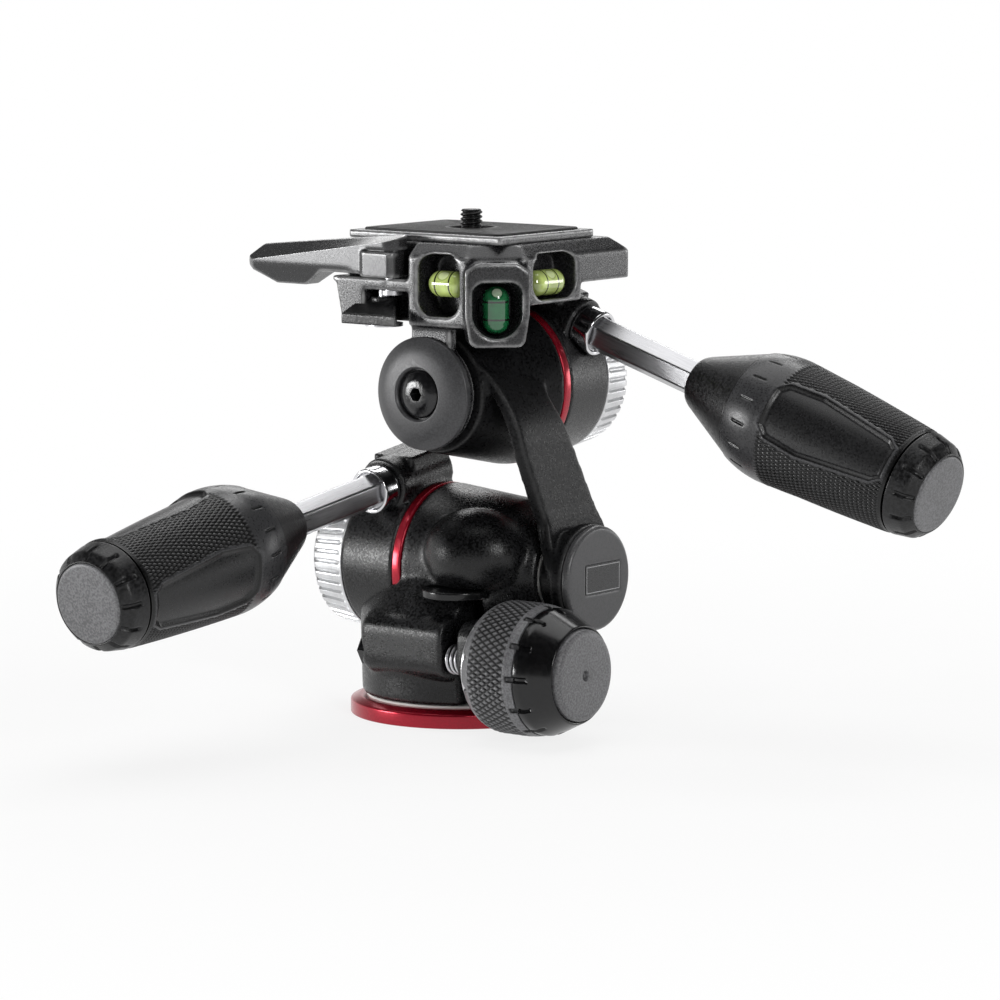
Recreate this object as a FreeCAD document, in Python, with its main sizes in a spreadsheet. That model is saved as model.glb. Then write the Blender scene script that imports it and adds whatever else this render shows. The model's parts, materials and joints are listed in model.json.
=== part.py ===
import FreeCAD, Part
import math
import os
import re
import Sketcher

# Three way pan tilt head. Millimetres, +Z up. The origin is the centre of the base's mounting
# face. The pan axis is Z, the tilt axis lies along X and the lateral axis lies along Y.

Vector = FreeCAD.Vector
Placement = FreeCAD.Placement
Rotation = FreeCAD.Rotation

SIZES = {
    # fits
    "press_gap": 0.02,            # between pieces of one body that are pressed together
    "run_gap": 0.06,              # radial play of a bearing
    "face_gap": 0.15,             # play between two flat faces that turn on each other
    "free_gap": 0.4,              # room round a piece that sweeps past another
    "through": 150.0,             # length of a cutting tool that passes right through
    # base and pan bearing
    "base_lip": 3.4,              # how far the base reaches past the clamp
    "base_edge": 3.9,             # height of the base's straight rim
    "base_height": 5.0,
    "base_bevel": 2.6,            # how far the base's top edge slopes inwards
    "socket_radius": 3.97,        # core of the 3/8 inch tripod thread
    "socket_depth": 13.0,
    "insert_radius": 7.0,
    "spigot_radius": 20.0,
    "spigot_top": 16.5,
    "groove_depth": 2.0,
    "groove_length": 5.0,
    "spigot_lip": 2.0,
    "base_screw_radius": 1.5,
    "base_screw_head": 3.0,
    "base_screw_circle": 13.5,
    "base_screw_length": 11.0,
    "base_screw_sink": 0.3,
    "washer_thick": 0.6,
    "retainer_radius": 2.5,
    "retainer_tip": 1.8,
    # pan housing
    "clamp_wall": 7.6,
    "shoulder_drop": 11.0,        # from the tilt axis down to the shoulder
    "shoulder_step": 0.6,
    "shoulder_sink": 0.3,
    "shoulder_top_radius": 21.6,
    "lobe_wall": 5.0,             # from the bolt's axis to the lobe's face
    "lobe_drop": 6.0,
    "lobe_left": 13.5,
    "lobe_round": 5.0,
    "lobe_end_round": 3.5,
    "ear_thick": 6.2,
    "slit_width": 5.2,
    "slit_back": 10.5,
    "dome_radius": 13.0,
    "dome_rise": 12.0,
    "dome_half_length": 15.5,
    "dome_x": 17.0,
    "dome_y": -14.4,
    "dome_lift": 6.1,
    "cover_radius": 9.8,
    "cover_drop": 5.5,
    "cover_thick": 2.2,
    "cover_x": 14.2,
    "cover_back": 13.5,
    "lug_room_y": 20.0,           # notch that lets the tilt handle's lug swing down
    "lug_room_drop": 7.3,
    # clamp bolt and pan knob
    "bolt_offset": 5.0,           # from the spigot to the bolt's axis
    "bolt_z": 19.4,
    "bolt_radius": 2.5,
    "nut_flat": 4.0,              # half the width across the bolt head's flats
    "nut_height": 4.0,
    "spring_radius": 3.7,
    "spring_wire": 0.45,
    "spring_pitch": 1.5,
    "knob_washer_radius": 8.0,
    "knob_washer_thick": 1.2,
    "knob_collar_radius": 11.0,
    "knob_collar_length": 3.8,    # from the ear to the rubber
    "knob_rim_radius": 15.2,
    "knob_radius": 18.1,
    "knob_core_radius": 13.6,
    "knob_shoulder": 6.1,
    "knob_sleeve_length": 18.6,
    "knob_band_radius": 17.4,
    "knob_ring_length": 10.2,
    "knob_end_radius": 13.2,
    "knob_cap_radius": 12.5,
    "knob_cap_rise": 1.6,
    "knob_cap_thick": 4.0,
    "knob_insert_radius": 5.0,
    "knob_insert_over": 2.0,
    # the two turning barrels, which share their rings and shafts
    "tilt_height": 41.5,
    "lateral_x": 9.8,
    "axis_distance": 50.7,        # from the tilt axis up to the lateral axis
    "tilt_ring_start": 4.1,       # from the origin's plane to the tilt barrel's left face
    "lateral_ring_start": 5.2,
    "barrel_radius": 22.6,
    "ring_outer_radius": 20.9,
    "accent_length": 2.9,
    "accent_bore": 13.0,
    "handle_ring_length": 19.2,
    "friction_ring_length": 11.1,
    "friction_outer_radius": 19.5,
    "end_cover_radius": 16.5,
    "end_cover_thick": 2.4,
    "end_cover_bevel": 0.7,
    "shaft_radius": 8.0,
    "shaft_neck_radius": 6.0,
    "bush_radius": 11.0,
    "bush_length": 11.0,
    "end_screw_head": 5.5,
    "end_screw_radius": 2.5,
    "end_screw_length": 12.0,
    # lug of a handle ring, measured in its handle's frame
    "lug_radius": 7.8,
    "lug_back": 10.0,
    "lug_front": 12.4,
    "lug_half_width": 7.0,
    "lug_depth": 10.0,
    "lug_top": 7.5,
    "lug_shoulder": 7.2,
    "lug_rounding": 1.0,
    # tilt barrel on the housing
    "tilt_barrel_waist": 24.0,
    "tilt_barrel_waist_radius": 19.9,
    "tilt_barrel_taper": 11.4,
    "tilt_barrel_end_radius": 13.2,
    # arm: hub, curved band, and the room it leaves
    "hub_radius": 14.6,
    "hub_length": 10.0,
    "hub_thick": 4.2,
    "hub_boss_radius": 11.6,
    "arm_thick": 4.3,
    "arm_flare_radius": 75.0,
    "arm_waist_inset": 6.8,
    "arm_waist_rise": 18.5,
    "arm_knee_inset": 8.5,
    "arm_knee_drop": 14.7,
    "arm_top_reach": 11.1,
    "arm_top_rise": 10.8,
    "arm_bend_radius": 31.0,
    "arm_taper": 1.3,
    "arm_right_rise": 13.5,
    "arm_right_top_y": 2.5,
    "arm_right_drop": 3.2,
    "arm_right_end_y": 4.0,
    "arm_left_y": -12.0,
    "arm_left_rise": 15.5,
    "arm_left_knee_y": -19.8,
    "arm_room_radius": 20.2,
    # end cap and label of the arm's hub
    "end_cap_radius": 14.4,
    "end_cap_thick": 2.4,
    "arm_bolt_radius": 3.0,
    "arm_bolt_head": 8.0,
    "arm_bolt_length": 12.0,
    "arm_bolt_sink": 2.0,
    "label_width": 16.0,
    "label_height": 8.2,
    "label_offset": 1.8,
    "label_depth": 0.5,
    "label_round": 0.5,
    # lateral barrel on the arm
    "lateral_barrel_front": 24.5,
    "lateral_barrel_front_radius": 16.6,
    "lateral_crease": 12.0,
    "lateral_crease_radius": 19.1,
    # front cap and its screw
    "front_hub_thick": 3.4,
    "front_cap_radius": 15.6,
    "front_rim_thick": 0.9,
    "front_cap_thick": 3.9,
    "front_cap_flat": 10.5,
    "front_cap_dome": 7.0,
    "front_recess_radius": 6.9,
    "front_recess_depth": 2.2,
    "front_screw_radius": 2.5,
    "front_screw_length": 14.0,
    "hex_head_radius": 6.6,
    "hex_socket_flat": 1.7,
    "hex_socket_depth": 1.4,
    # handles, measured along the rod from the point nearest the barrel's axis
    "tilt_handle_plane": 15.2,
    "tilt_handle_offset": 24.2,
    "tilt_handle_slope": 8.6,
    "lateral_handle_plane": 19.5,
    "lateral_handle_offset": 20.6,
    "lateral_handle_slope": 18.0,
    "rod_flat": 4.35,             # half the rod's width across its flats
    "rod_thread_radius": 4.0,
    "rod_back": 8.0,
    "rod_short": 2.6,
    "collar_radius": 6.5,
    "collar_length": 6.2,
    "collar_bevel": 0.6,
    "nose_start": 53.5,
    "nose_radius": 6.8,
    "nose_length": 19.9,
    "nose_end_radius": 16.0,
    "belly_lead": 9.8,
    "belly_radius": 17.7,
    "belly_arc": 30.0,
    "core_radius": 11.0,
    "sleeve_length": 53.2,
    "sleeve_end_radius": 14.7,
    "sleeve_arc": 240.0,
    "grip_ring_length": 6.0,
    "grip_ring_radius": 13.4,
    "grip_cap_thick": 2.2,
    "grip_face_radius": 10.9,
    # plate
    "plate_x": 4.5,
    "plate_y": -1.0,
    "plate_length": 52.5,
    "plate_width": 42.5,
    "seat_rise": 40.7,            # from the lateral axis up to the plate's seat
    "plate_slab": 2.3,
    "plate_foot_length": 45.0,
    "plate_foot_width": 36.0,
    "plate_foot": 5.2,
    "pad_margin": 2.6,
    "pad_proud": 0.6,
    "pad_depth": 0.8,
    "pad_hole_radius": 6.2,
    # camera screw
    "camera_screw_radius": 3.05,
    "camera_screw_rise": 5.5,
    "camera_lead": 0.6,
    "camera_neck_radius": 2.5,
    "camera_head_radius": 8.5,
    "camera_head_thick": 2.4,
    "head_sink": 0.3,
    # quick release body
    "body_reach_right": 32.0,     # these four from the plate's middle
    "body_reach_left": 26.5,
    "body_reach_front": 28.5,
    "body_reach_back": 30.0,
    "body_height": 22.3,
    "body_lean_height": 3.5,      # of the part of the sides that leans in
    "body_lean": 4.0,
    "body_corner": 11.5,
    "deck_thick": 11.5,
    "skirt_inset": 1.2,
    "skirt_taper": 2.2,
    "skirt_thick": 10.6,
    "side_lift": 6.0,
    "side_wall_end": 2.35,
    "side_wall_depth": 9.5,
    "recess_reach_left": 8.0,     # from the lever's pivot
    "recess_reach_right": 7.2,
    "web_thick": 1.8,
    "lever_floor_thick": 1.6,
    "lever_room_depth": 7.0,
    "leg_width": 17.0,
    "leg_root": 2.0,
    "lug_room_end": 24.8,
    # vials and their pockets
    "vial_radius": 3.6,
    "vial_sink": 10.9,
    "front_vial_shift": 10.5,
    "front_vial_length": 12.4,
    "side_vial_shift": 4.0,
    "side_vial_length": 15.0,
    "pocket_half": 7.1,
    "pocket_depth": 9.0,
    "pocket_down": 8.6,
    "pocket_up": 8.2,
    "pocket_round": 4.5,
    "side_pocket_half": 9.65,
    "side_ledge": 1.2,
    "side_pocket_depth": 8.0,
    "corner_vial_length": 13.2,
    "corner_vial_rise": 9.9,
    # tongue at the body's corner, and its window
    "tongue_inset": 4.3,
    "tongue_sink": 4.3,
    "tongue_drop": 5.0,
    "tongue_depth": 9.4,
    "tongue_foot": 5.4,           # half the width of its foot
    "tongue_foot_round": 2.4,
    "tongue_flare": 3.4,          # height over which the foot widens
    "tongue_round": 2.2,
    "tongue_half_width": 8.8,
    "window_back": 4.6,
    "window_half": 6.9,
    "window_sill": 2.4,
    "window_lintel": 5.4,
    "window_round": 3.2,
    "window_draft": 1.2,
    "window_depth": 7.6,
    # lever, measured from its pivot
    "lever_pivot_shift": 7.1,
    "lever_pivot_wall": 2.3,
    "lever_half_width": 4.3,
    "lever_front": 4.8,
    "lever_reach": 49.2,
    "lever_clear": 0.2,
    "lever_rise": 0.7,
    "lever_height": 11.8,
    "lever_fall": 4.8,
    "lever_tip_rise": 3.4,
    "lever_tip_lift": 1.0,
    "lever_belly": 10.6,          # from the tip to the belly, and the belly's length
    "lever_belly_drop": 3.3,
    "lever_ramp": 6.2,
    "lever_hub": 5.5,
    "lever_hub_right": 3.8,
    "lever_hub_thick": 6.9,
    "lever_hub_round": 1.8,
    "lever_post_radius": 3.4,
    "lever_under_rise": 7.6,      # to the underside of the lever's end
    "lever_nip": 2.6,
    "lever_nose": 2.0,
    "lever_pin_radius": 2.0,
    "lever_pin_grip": 6.0,
    "lever_pin_head": 1.2,
    "lever_head_radius": 2.8,
    # safety catch
    "catch_shift": 4.2,
    "catch_wall": 4.1,
    "catch_reach": 10.4,
    "catch_reach_left": 6.8,
    "catch_reach_right": 12.4,
    "catch_inset": 3.6,
    "catch_thick": 2.8,
    "catch_root": 7.0,
    "catch_hub_radius": 3.6,
    "catch_pin_radius": 1.5,
    "catch_pin_cover": 1.0,
    "catch_head_radius": 5.2,
    "catch_head_thick": 0.9,
}

# places that follow from the sizes, each from the piece that it goes with
PLACES = {
    "clamp_radius": "spigot_radius + clamp_wall",
    "base_radius": "clamp_radius + base_lip",
    "shoulder_radius": "clamp_radius + shoulder_step",
    "ear_face": "clamp_radius",
    "bolt_y": "-spigot_radius - bolt_offset",
    "cover_y": "-spigot_radius",
    "groove_high": "spigot_top - spigot_lip",
    "groove_low": "groove_high - groove_length",
    "retainer_height": "groove_high - groove_length / 2",
    "shoulder_low": "tilt_height - shoulder_drop",
    "shoulder_high": "tilt_height - shoulder_sink",
    "lobe_front": "lobe_wall - bolt_y",
    "lobe_low": "bolt_z - lobe_drop",
    "slit_left": "ear_face - ear_thick - slit_width",
    "dome_z": "tilt_height + dome_lift",
    "cover_low": "tilt_height - cover_drop",
    "lug_room_low": "tilt_height - lug_room_drop",
    "knob_rim": "ear_face + knob_collar_length",
    "knob_belly": "knob_rim + knob_shoulder",
    "knob_band": "knob_rim + knob_sleeve_length",
    "knob_end": "knob_band + knob_ring_length",
    "knob_cap_face": "knob_end + knob_cap_rise",
    "knob_insert_end": "knob_band + knob_insert_over",
    "lateral_height": "tilt_height + axis_distance",
    "tilt_barrel_end": "tilt_barrel_waist + tilt_barrel_taper",
    "hub_face": "tilt_barrel_end + hub_length",
    "end_cap_face": "hub_face + end_cap_thick",
    "arm_waist": "hub_face - arm_waist_inset",
    "arm_waist_low": "tilt_height + arm_waist_rise",
    "arm_knee": "hub_face - arm_knee_inset",
    "arm_knee_height": "lateral_height - arm_knee_drop",
    "arm_top": "lateral_x + arm_top_reach",
    "arm_top_height": "lateral_height + arm_top_rise",
    "arm_right_low": "tilt_height + arm_right_rise",
    "arm_right_top": "lateral_height - arm_right_drop",
    "arm_left_low": "tilt_height + arm_left_rise",
    "front_seat": "lateral_barrel_front + free_gap + front_hub_thick",
    "front_cap_rim": "front_seat + front_rim_thick",
    "front_cap_face": "front_seat + front_cap_thick",
    "collar_end": "lug_front + collar_length",
    "nose_end": "nose_start + nose_length",
    "belly_start": "nose_end + belly_lead",
    "sleeve_end": "nose_end + sleeve_length",
    "grip_ring_end": "sleeve_end + grip_ring_length",
    "grip_face": "grip_ring_end + grip_cap_thick",
    "rod_end": "sleeve_end - rod_short",
    "seat": "lateral_height + seat_rise",
    "plate_top": "seat + plate_slab",
    "camera_screw_tip": "plate_top + camera_screw_rise",
    "body_right": "plate_x + body_reach_right",
    "body_left": "plate_x - body_reach_left",
    "body_front": "plate_y - body_reach_front",
    "body_back": "plate_y + body_reach_back",
    "body_low": "seat - body_height",
    "body_edge": "seat - body_lean_height",
    "deck_low": "seat - deck_thick",
    "skirt_left": "body_left + skirt_inset",
    "skirt_back": "body_front + skirt_thick",
    "side_low": "body_low + side_lift",
    "web_low": "deck_low - web_thick",
    "lever_floor": "deck_low + lever_floor_thick",
    "lever_wall": "body_front + lever_room_depth",
    "lever_pivot_x": "plate_x - lever_pivot_shift",
    "lever_pivot_y": "body_front + lever_pivot_wall",
    "recess_left": "lever_pivot_x - recess_reach_left",
    "recess_right": "lever_pivot_x + recess_reach_right",
    "vial_height": "seat - vial_sink",
    "front_vial_x": "plate_x + front_vial_shift",
    "side_vial_y": "plate_y - side_vial_shift",
    "pocket_left": "front_vial_x - pocket_half",
    "pocket_right": "front_vial_x + pocket_half",
    "pocket_low": "vial_height - pocket_down",
    "pocket_high": "vial_height + pocket_up",
    "side_pocket_front": "side_vial_y - side_pocket_half",
    "side_pocket_back": "side_vial_y + side_pocket_half",
    "side_wall_back": "side_pocket_back + side_wall_end",
    "side_pocket_low": "side_low + side_ledge",
    "tongue_x": "body_right - tongue_inset",
    "tongue_y": "body_front + tongue_inset",
    "tongue_top": "seat - tongue_sink",
    "tongue_shoulder": "tongue_top - tongue_round",
    "tongue_low": "body_low - tongue_drop",
    "window_low": "tongue_low + window_sill",
    "window_high": "tongue_top - window_lintel",
    "corner_vial_height": "tongue_low + corner_vial_rise",
    "lever_low": "lever_floor + lever_clear",
    "lever_top": "lever_low + lever_height",
    "lever_back_top": "lever_top - lever_fall",
    "lever_tip_high": "lever_low + lever_tip_rise",
    "lever_tip_low": "lever_low + lever_tip_lift",
    "lever_belly_low": "lever_low - lever_belly_drop",
    "lever_belly_start": "lever_reach - lever_belly",
    "lever_belly_end": "lever_belly_start - lever_belly",
    "lever_neck": "lever_belly_end - lever_ramp",
    "lever_under": "lever_low + lever_under_rise",
    "catch_x": "lever_pivot_x - catch_shift",
    "catch_y": "body_front + catch_wall",
    "recess_back": "catch_y + catch_hub_radius + 2 * free_gap",
    "catch_left": "catch_x - catch_reach_left",
    "catch_right": "catch_x + catch_reach_right",
    "catch_root_high": "body_low + catch_root",
}

doc = FreeCAD.newDocument("PanTiltHead")
sheet = doc.addObject("Spreadsheet::Sheet", "Sizes")
for row, (alias, value) in enumerate([*SIZES.items(), *PLACES.items()], start=1):
    sheet.set("A%d" % row, alias)
    sheet.set("B%d" % row, "=%s" % value)
    sheet.setAlias("B%d" % row, alias)
doc.recompute()

NODES = []


def bound(expression):
    """Return the expression with each alias written as a cell of the sheet."""
    def cell(word):
        known = word.group() in SIZES or word.group() in PLACES
        return "Sizes." + word.group() if known else word.group()
    return re.sub(r"[a-z][a-z0-9_]*", cell, str(expression))


def size(expression):
    """Return the value of an expression of aliases."""
    return float(sheet.evalExpression(bound(expression)))


def node(label, piece):
    """Name a finished sub-part and keep it for the export."""
    piece.Label = label
    NODES.append(piece)
    return piece


# ---------------------------------------------------------------- frames

def frame(x, y, z, rotation=Rotation()):
    """Return a placement at a point given by expressions."""
    return Placement(Vector(size(x), size(y), size(z)), rotation)


ALONG_Z = Rotation(Vector(0, 1, 0), -90)      # local X to Z
ALONG_MINUS_X = Rotation(Vector(0, 0, 1), 180)
ALONG_Y = Rotation(Vector(0, 0, 1), 90)
ALONG_MINUS_Y = Rotation(Vector(0, 0, 1), -90)
FACING_MINUS_Y = Rotation(Vector(1, 0, 0), 90)      # outline in X and Z, padded towards -Y
FACING_X = Rotation(Vector(1, 1, 1), 120)           # outline in Y and Z, padded towards +X
FACING_CORNER = Rotation(Vector(0, 0, 1), 45).multiply(FACING_MINUS_Y)

PAN = Placement(Vector(), ALONG_Z)
TILT_RIGHT = frame("0", "0", "tilt_height")
TILT_LEFT = frame("0", "0", "tilt_height", ALONG_MINUS_X)
LATERAL_BACK = frame("lateral_x", "0", "lateral_height", ALONG_Y)
LATERAL_FRONT = frame("lateral_x", "0", "lateral_height", ALONG_MINUS_Y)
BOLT = frame("0", "bolt_y", "bolt_z")


def handle_frame(barrel, plane, offset, slope, turn):
    """Return the frame of a handle: local X runs out along its rod."""
    rotation = turn.multiply(Rotation(Vector(0, 1, 0), size(slope)))
    lift = rotation.multVec(Vector(0, 0, size(offset)))
    middle = barrel.multVec(Vector(size(plane), 0, 0))
    return Placement(middle + lift, rotation)


TILT_HANDLE = handle_frame(TILT_LEFT, "tilt_handle_plane", "tilt_handle_offset",
                           "tilt_handle_slope", ALONG_MINUS_Y)
LATERAL_HANDLE = handle_frame(LATERAL_BACK, "lateral_handle_plane", "lateral_handle_offset",
                              "lateral_handle_slope", Rotation())


# ---------------------------------------------------------------- shapes

def origin_plane(body, role):
    """Return one of the body's own origin planes."""
    return [item for item in body.Origin.OriginFeatures if item.Role == role][0]


def arc_through(start, end, radius, side):
    """Return the arc from start to end with its centre left (1) or right (-1) of the way."""
    chord = end - start
    left = Vector(-chord.y, chord.x, 0).normalize()
    rise = math.sqrt(max(radius ** 2 - (chord.Length / 2) ** 2, 0.0))
    centre = (start + end) * 0.5 + left * (side * rise)
    first, last = (start, end) if side > 0 else (end, start)
    angles = [math.atan2(point.y - centre.y, point.x - centre.x) for point in (first, last)]
    return Part.ArcOfCircle(Part.Circle(centre, Vector(0, 0, 1), radius), *angles)


def outline_sketch(body, name, outline, plane="XY_Plane", lift=None):
    """Add a closed sketch. Each corner is (x, y) or (x, y, radius, side) in expressions,
    where a radius makes the edge that arrives there an arc."""
    sketch = body.newObject("Sketcher::SketchObject", name)
    sketch.AttachmentSupport = (origin_plane(body, plane), [""])
    sketch.MapMode = "FlatFace"
    if lift is not None:
        sketch.setExpression("AttachmentOffset.Base.z", bound(lift))
    points = [Vector(size(corner[0]), size(corner[1]), 0) for corner in outline]
    edges = []
    for index, corner in enumerate(outline):
        start = points[index - 1]
        end = points[index]
        if len(corner) == 4:
            side = corner[3]
            edge = sketch.addGeometry(arc_through(start, end, size(corner[2]), side))
            radius = sketch.addConstraint(Sketcher.Constraint("Radius", edge, size(corner[2])))
            sketch.setExpression("Constraints[%d]" % radius, bound(corner[2]))
            edges.append((edge, 1, 2) if side > 0 else (edge, 2, 1))
        else:
            edges.append((sketch.addGeometry(Part.LineSegment(start, end)), 1, 2))
    for index, corner in enumerate(outline):
        edge, _, last = edges[index]
        following, first, _ = edges[(index + 1) % len(edges)]
        sketch.addConstraint(Sketcher.Constraint("Coincident", edge, last, following, first))
        for kind, expression, value in (("DistanceX", corner[0], points[index].x),
                                        ("DistanceY", corner[1], points[index].y)):
            place = sketch.addConstraint(Sketcher.Constraint(kind, -1, 1, edge, last, value))
            sketch.setExpression("Constraints[%d]" % place, bound(expression))
    return sketch


def turned(name, profile, place):
    """Turn a profile of (along, radius) corners about the local X axis."""
    body = doc.addObject("PartDesign::Body", name)
    sketch = outline_sketch(body, name + "_profile", profile)
    turn = body.newObject("PartDesign::Revolution", name + "_turn")
    turn.Profile = sketch
    turn.ReferenceAxis = (sketch, ["H_Axis"])
    turn.Angle = 360
    body.Tip = turn
    body.Placement = place
    return body


def padded(name, outline, length, place, rounding=None, pick=None):
    """Pad an outline by a length along local Z, and round the edges that pick chooses."""
    body = doc.addObject("PartDesign::Body", name)
    sketch = outline_sketch(body, name + "_outline", outline)
    pad = body.newObject("PartDesign::Pad", name + "_pad")
    pad.Profile = sketch
    pad.setExpression("Length", bound(length))
    body.Tip = pad
    if rounding:
        doc.recompute()
        chosen = ["Edge%d" % (index + 1) for index, edge in enumerate(pad.Shape.Edges) if pick(edge)]
        fillet = body.newObject("PartDesign::Fillet", name + "_rounding")
        fillet.Base = (pad, chosen)
        fillet.setExpression("Radius", bound(rounding))
        body.Tip = fillet
    body.Placement = place
    return body


def lofted(name, sections, place):
    """Loft straight between outlines at the given heights."""
    body = doc.addObject("PartDesign::Body", name)
    sketches = [outline_sketch(body, "%s_section%d" % (name, index), outline, lift=lift)
                for index, (lift, outline) in enumerate(sections)]
    loft = body.newObject("PartDesign::AdditiveLoft", name + "_loft")
    loft.Profile = sketches[0]
    loft.Sections = sketches[1:]
    loft.Ruled = True
    body.Tip = loft
    body.Placement = place
    return body


def tube(start, end, inner, outer):
    """Return the profile of a plain tube."""
    return [(start, inner), (start, outer), (end, outer), (end, inner)]


def disc(start, end, radius):
    """Return the profile of a plain round bar."""
    return tube(start, end, "0", radius)


def rounded_box(left, low, right, high, radius):
    """Return the outline of a rectangle with rounded corners."""
    r = "(%s)" % radius
    return [("%s - %s" % (right, r), low),
            (right, "%s + %s" % (low, r), radius, 1), (right, "%s - %s" % (high, r)),
            ("%s - %s" % (right, r), high, radius, 1), ("%s + %s" % (left, r), high),
            (left, "%s - %s" % (high, r), radius, 1), (left, "%s + %s" % (low, r)),
            ("%s + %s" % (left, r), low, radius, 1)]


def hexagon(flat):
    """Return a hexagon by half its width across flats."""
    half_side = "(%s) / sqrt(3)" % flat
    corner = "(%s) * 2 / sqrt(3)" % flat
    return [(corner, "0"), (half_side, flat), ("-" + half_side, flat), ("-" + corner, "0"),
            ("-" + half_side, "-(%s)" % flat), (half_side, "-(%s)" % flat)]


def block(name, corner, extent):
    """Add a box by its low corner and its extent."""
    box = doc.addObject("Part::Box", name)
    for side, expression in zip(("Length", "Width", "Height"), extent):
        box.setExpression(side, bound(expression))
    for side, expression in zip("xyz", corner):
        box.setExpression("Placement.Base." + side, bound(expression))
    return box


def bar(name, radius, start, end, place):
    """Add a round bar along local X, as a cutting tool or a plain pin."""
    return turned(name, disc(start, end, radius), place)


def fused(name, pieces):
    """Join pieces into one."""
    joined = doc.addObject("Part::MultiFuse", name)
    joined.Shapes = pieces
    joined.Refine = True
    return joined


def cut(name, piece, tools):
    """Cut the tools out of a piece."""
    tool = tools[0] if len(tools) == 1 else fused(name + "_tools", tools)
    result = doc.addObject("Part::Cut", name)
    result.Base = piece
    result.Tool = tool
    return result


def round_array(name, make, count, centre, axis):
    """Return copies of a tool, evenly spaced about an axis of the world."""
    copies = []
    for index in range(count):
        piece = make("%s_%d" % (name, index))
        spin = Rotation(axis, 360.0 * index / count)
        piece.Placement = Placement(centre, spin, Vector()).multiply(
            Placement(-centre, Rotation())).multiply(piece.Placement)
        copies.append(piece)
    return copies


# ---------------------------------------------------------------- base

def base_screw(name, grow="0", start="base_screw_sink"):
    """Turn one countersunk base screw, or with grow its hole."""
    shank = "base_screw_radius + " + grow
    head = "base_screw_head + " + grow
    shoulder = "base_screw_sink + base_screw_head - base_screw_radius"
    tip = "base_screw_sink + base_screw_length"
    profile = [(start, "0"), (start, head), ("base_screw_sink + " + grow, head), (shoulder, shank),
               (tip, shank), (tip, "0")]
    if grow == "0":
        del profile[2]
    return turned(name, profile, frame("base_screw_circle", "0", "0", ALONG_Z))


def base_screws(name, **options):
    """Return the three base screws or their holes."""
    return round_array(name, lambda label: base_screw(label, **options), 3, Vector(), Vector(0, 0, 1))


def base_parts():
    bore = "insert_radius + press_gap"
    ring = turned("base_ring_blank", [
        ("0", bore), ("0", "base_radius"), ("base_edge", "base_radius"),
        ("base_height", "base_radius - base_bevel"), ("base_height", bore)], PAN)
    holes = base_screws("base_ring_hole", grow="press_gap", start="-base_edge")
    node("base_ring", cut("base_ring", ring, holes))

    waist = "spigot_radius - groove_depth"
    spigot = turned("spigot_blank", [
        ("base_height", bore), ("base_height", "spigot_radius"), ("groove_low", "spigot_radius"),
        ("groove_low + groove_depth", waist), ("groove_high - groove_depth", waist),
        ("groove_high", "spigot_radius"), ("spigot_top", "spigot_radius"), ("spigot_top", "0"),
        ("socket_depth", "0"), ("socket_depth", bore)], PAN)
    holes = base_screws("spigot_hole", grow="press_gap", start="base_screw_sink")
    node("pan_spigot", cut("pan_spigot", spigot, holes))

    node("thread_insert", turned("thread_insert",
                                 tube("0", "socket_depth", "socket_radius", "insert_radius"), PAN))

    screws = doc.addObject("Part::Compound", "base_screws")
    screws.Links = base_screws("base_screw")
    node("base_screws", screws)

    node("pan_washer", turned("pan_washer", tube(
        "base_height", "base_height + washer_thick", "spigot_radius + face_gap",
        "clamp_radius - 2 * washer_thick"), PAN))


# ---------------------------------------------------------------- pan housing

def retainer_profile(start, grow):
    """Return the set screw that keeps the housing on the spigot, from the wall inwards."""
    wall = "clamp_radius - spigot_radius - face_gap"
    tip = "clamp_radius - spigot_radius + groove_depth - free_gap"
    return [(start, "0"), (start, "retainer_radius + " + grow), (wall, "retainer_radius + " + grow),
            (wall, "retainer_tip"), (tip, "retainer_tip / 4"), (tip, "0")]


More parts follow.
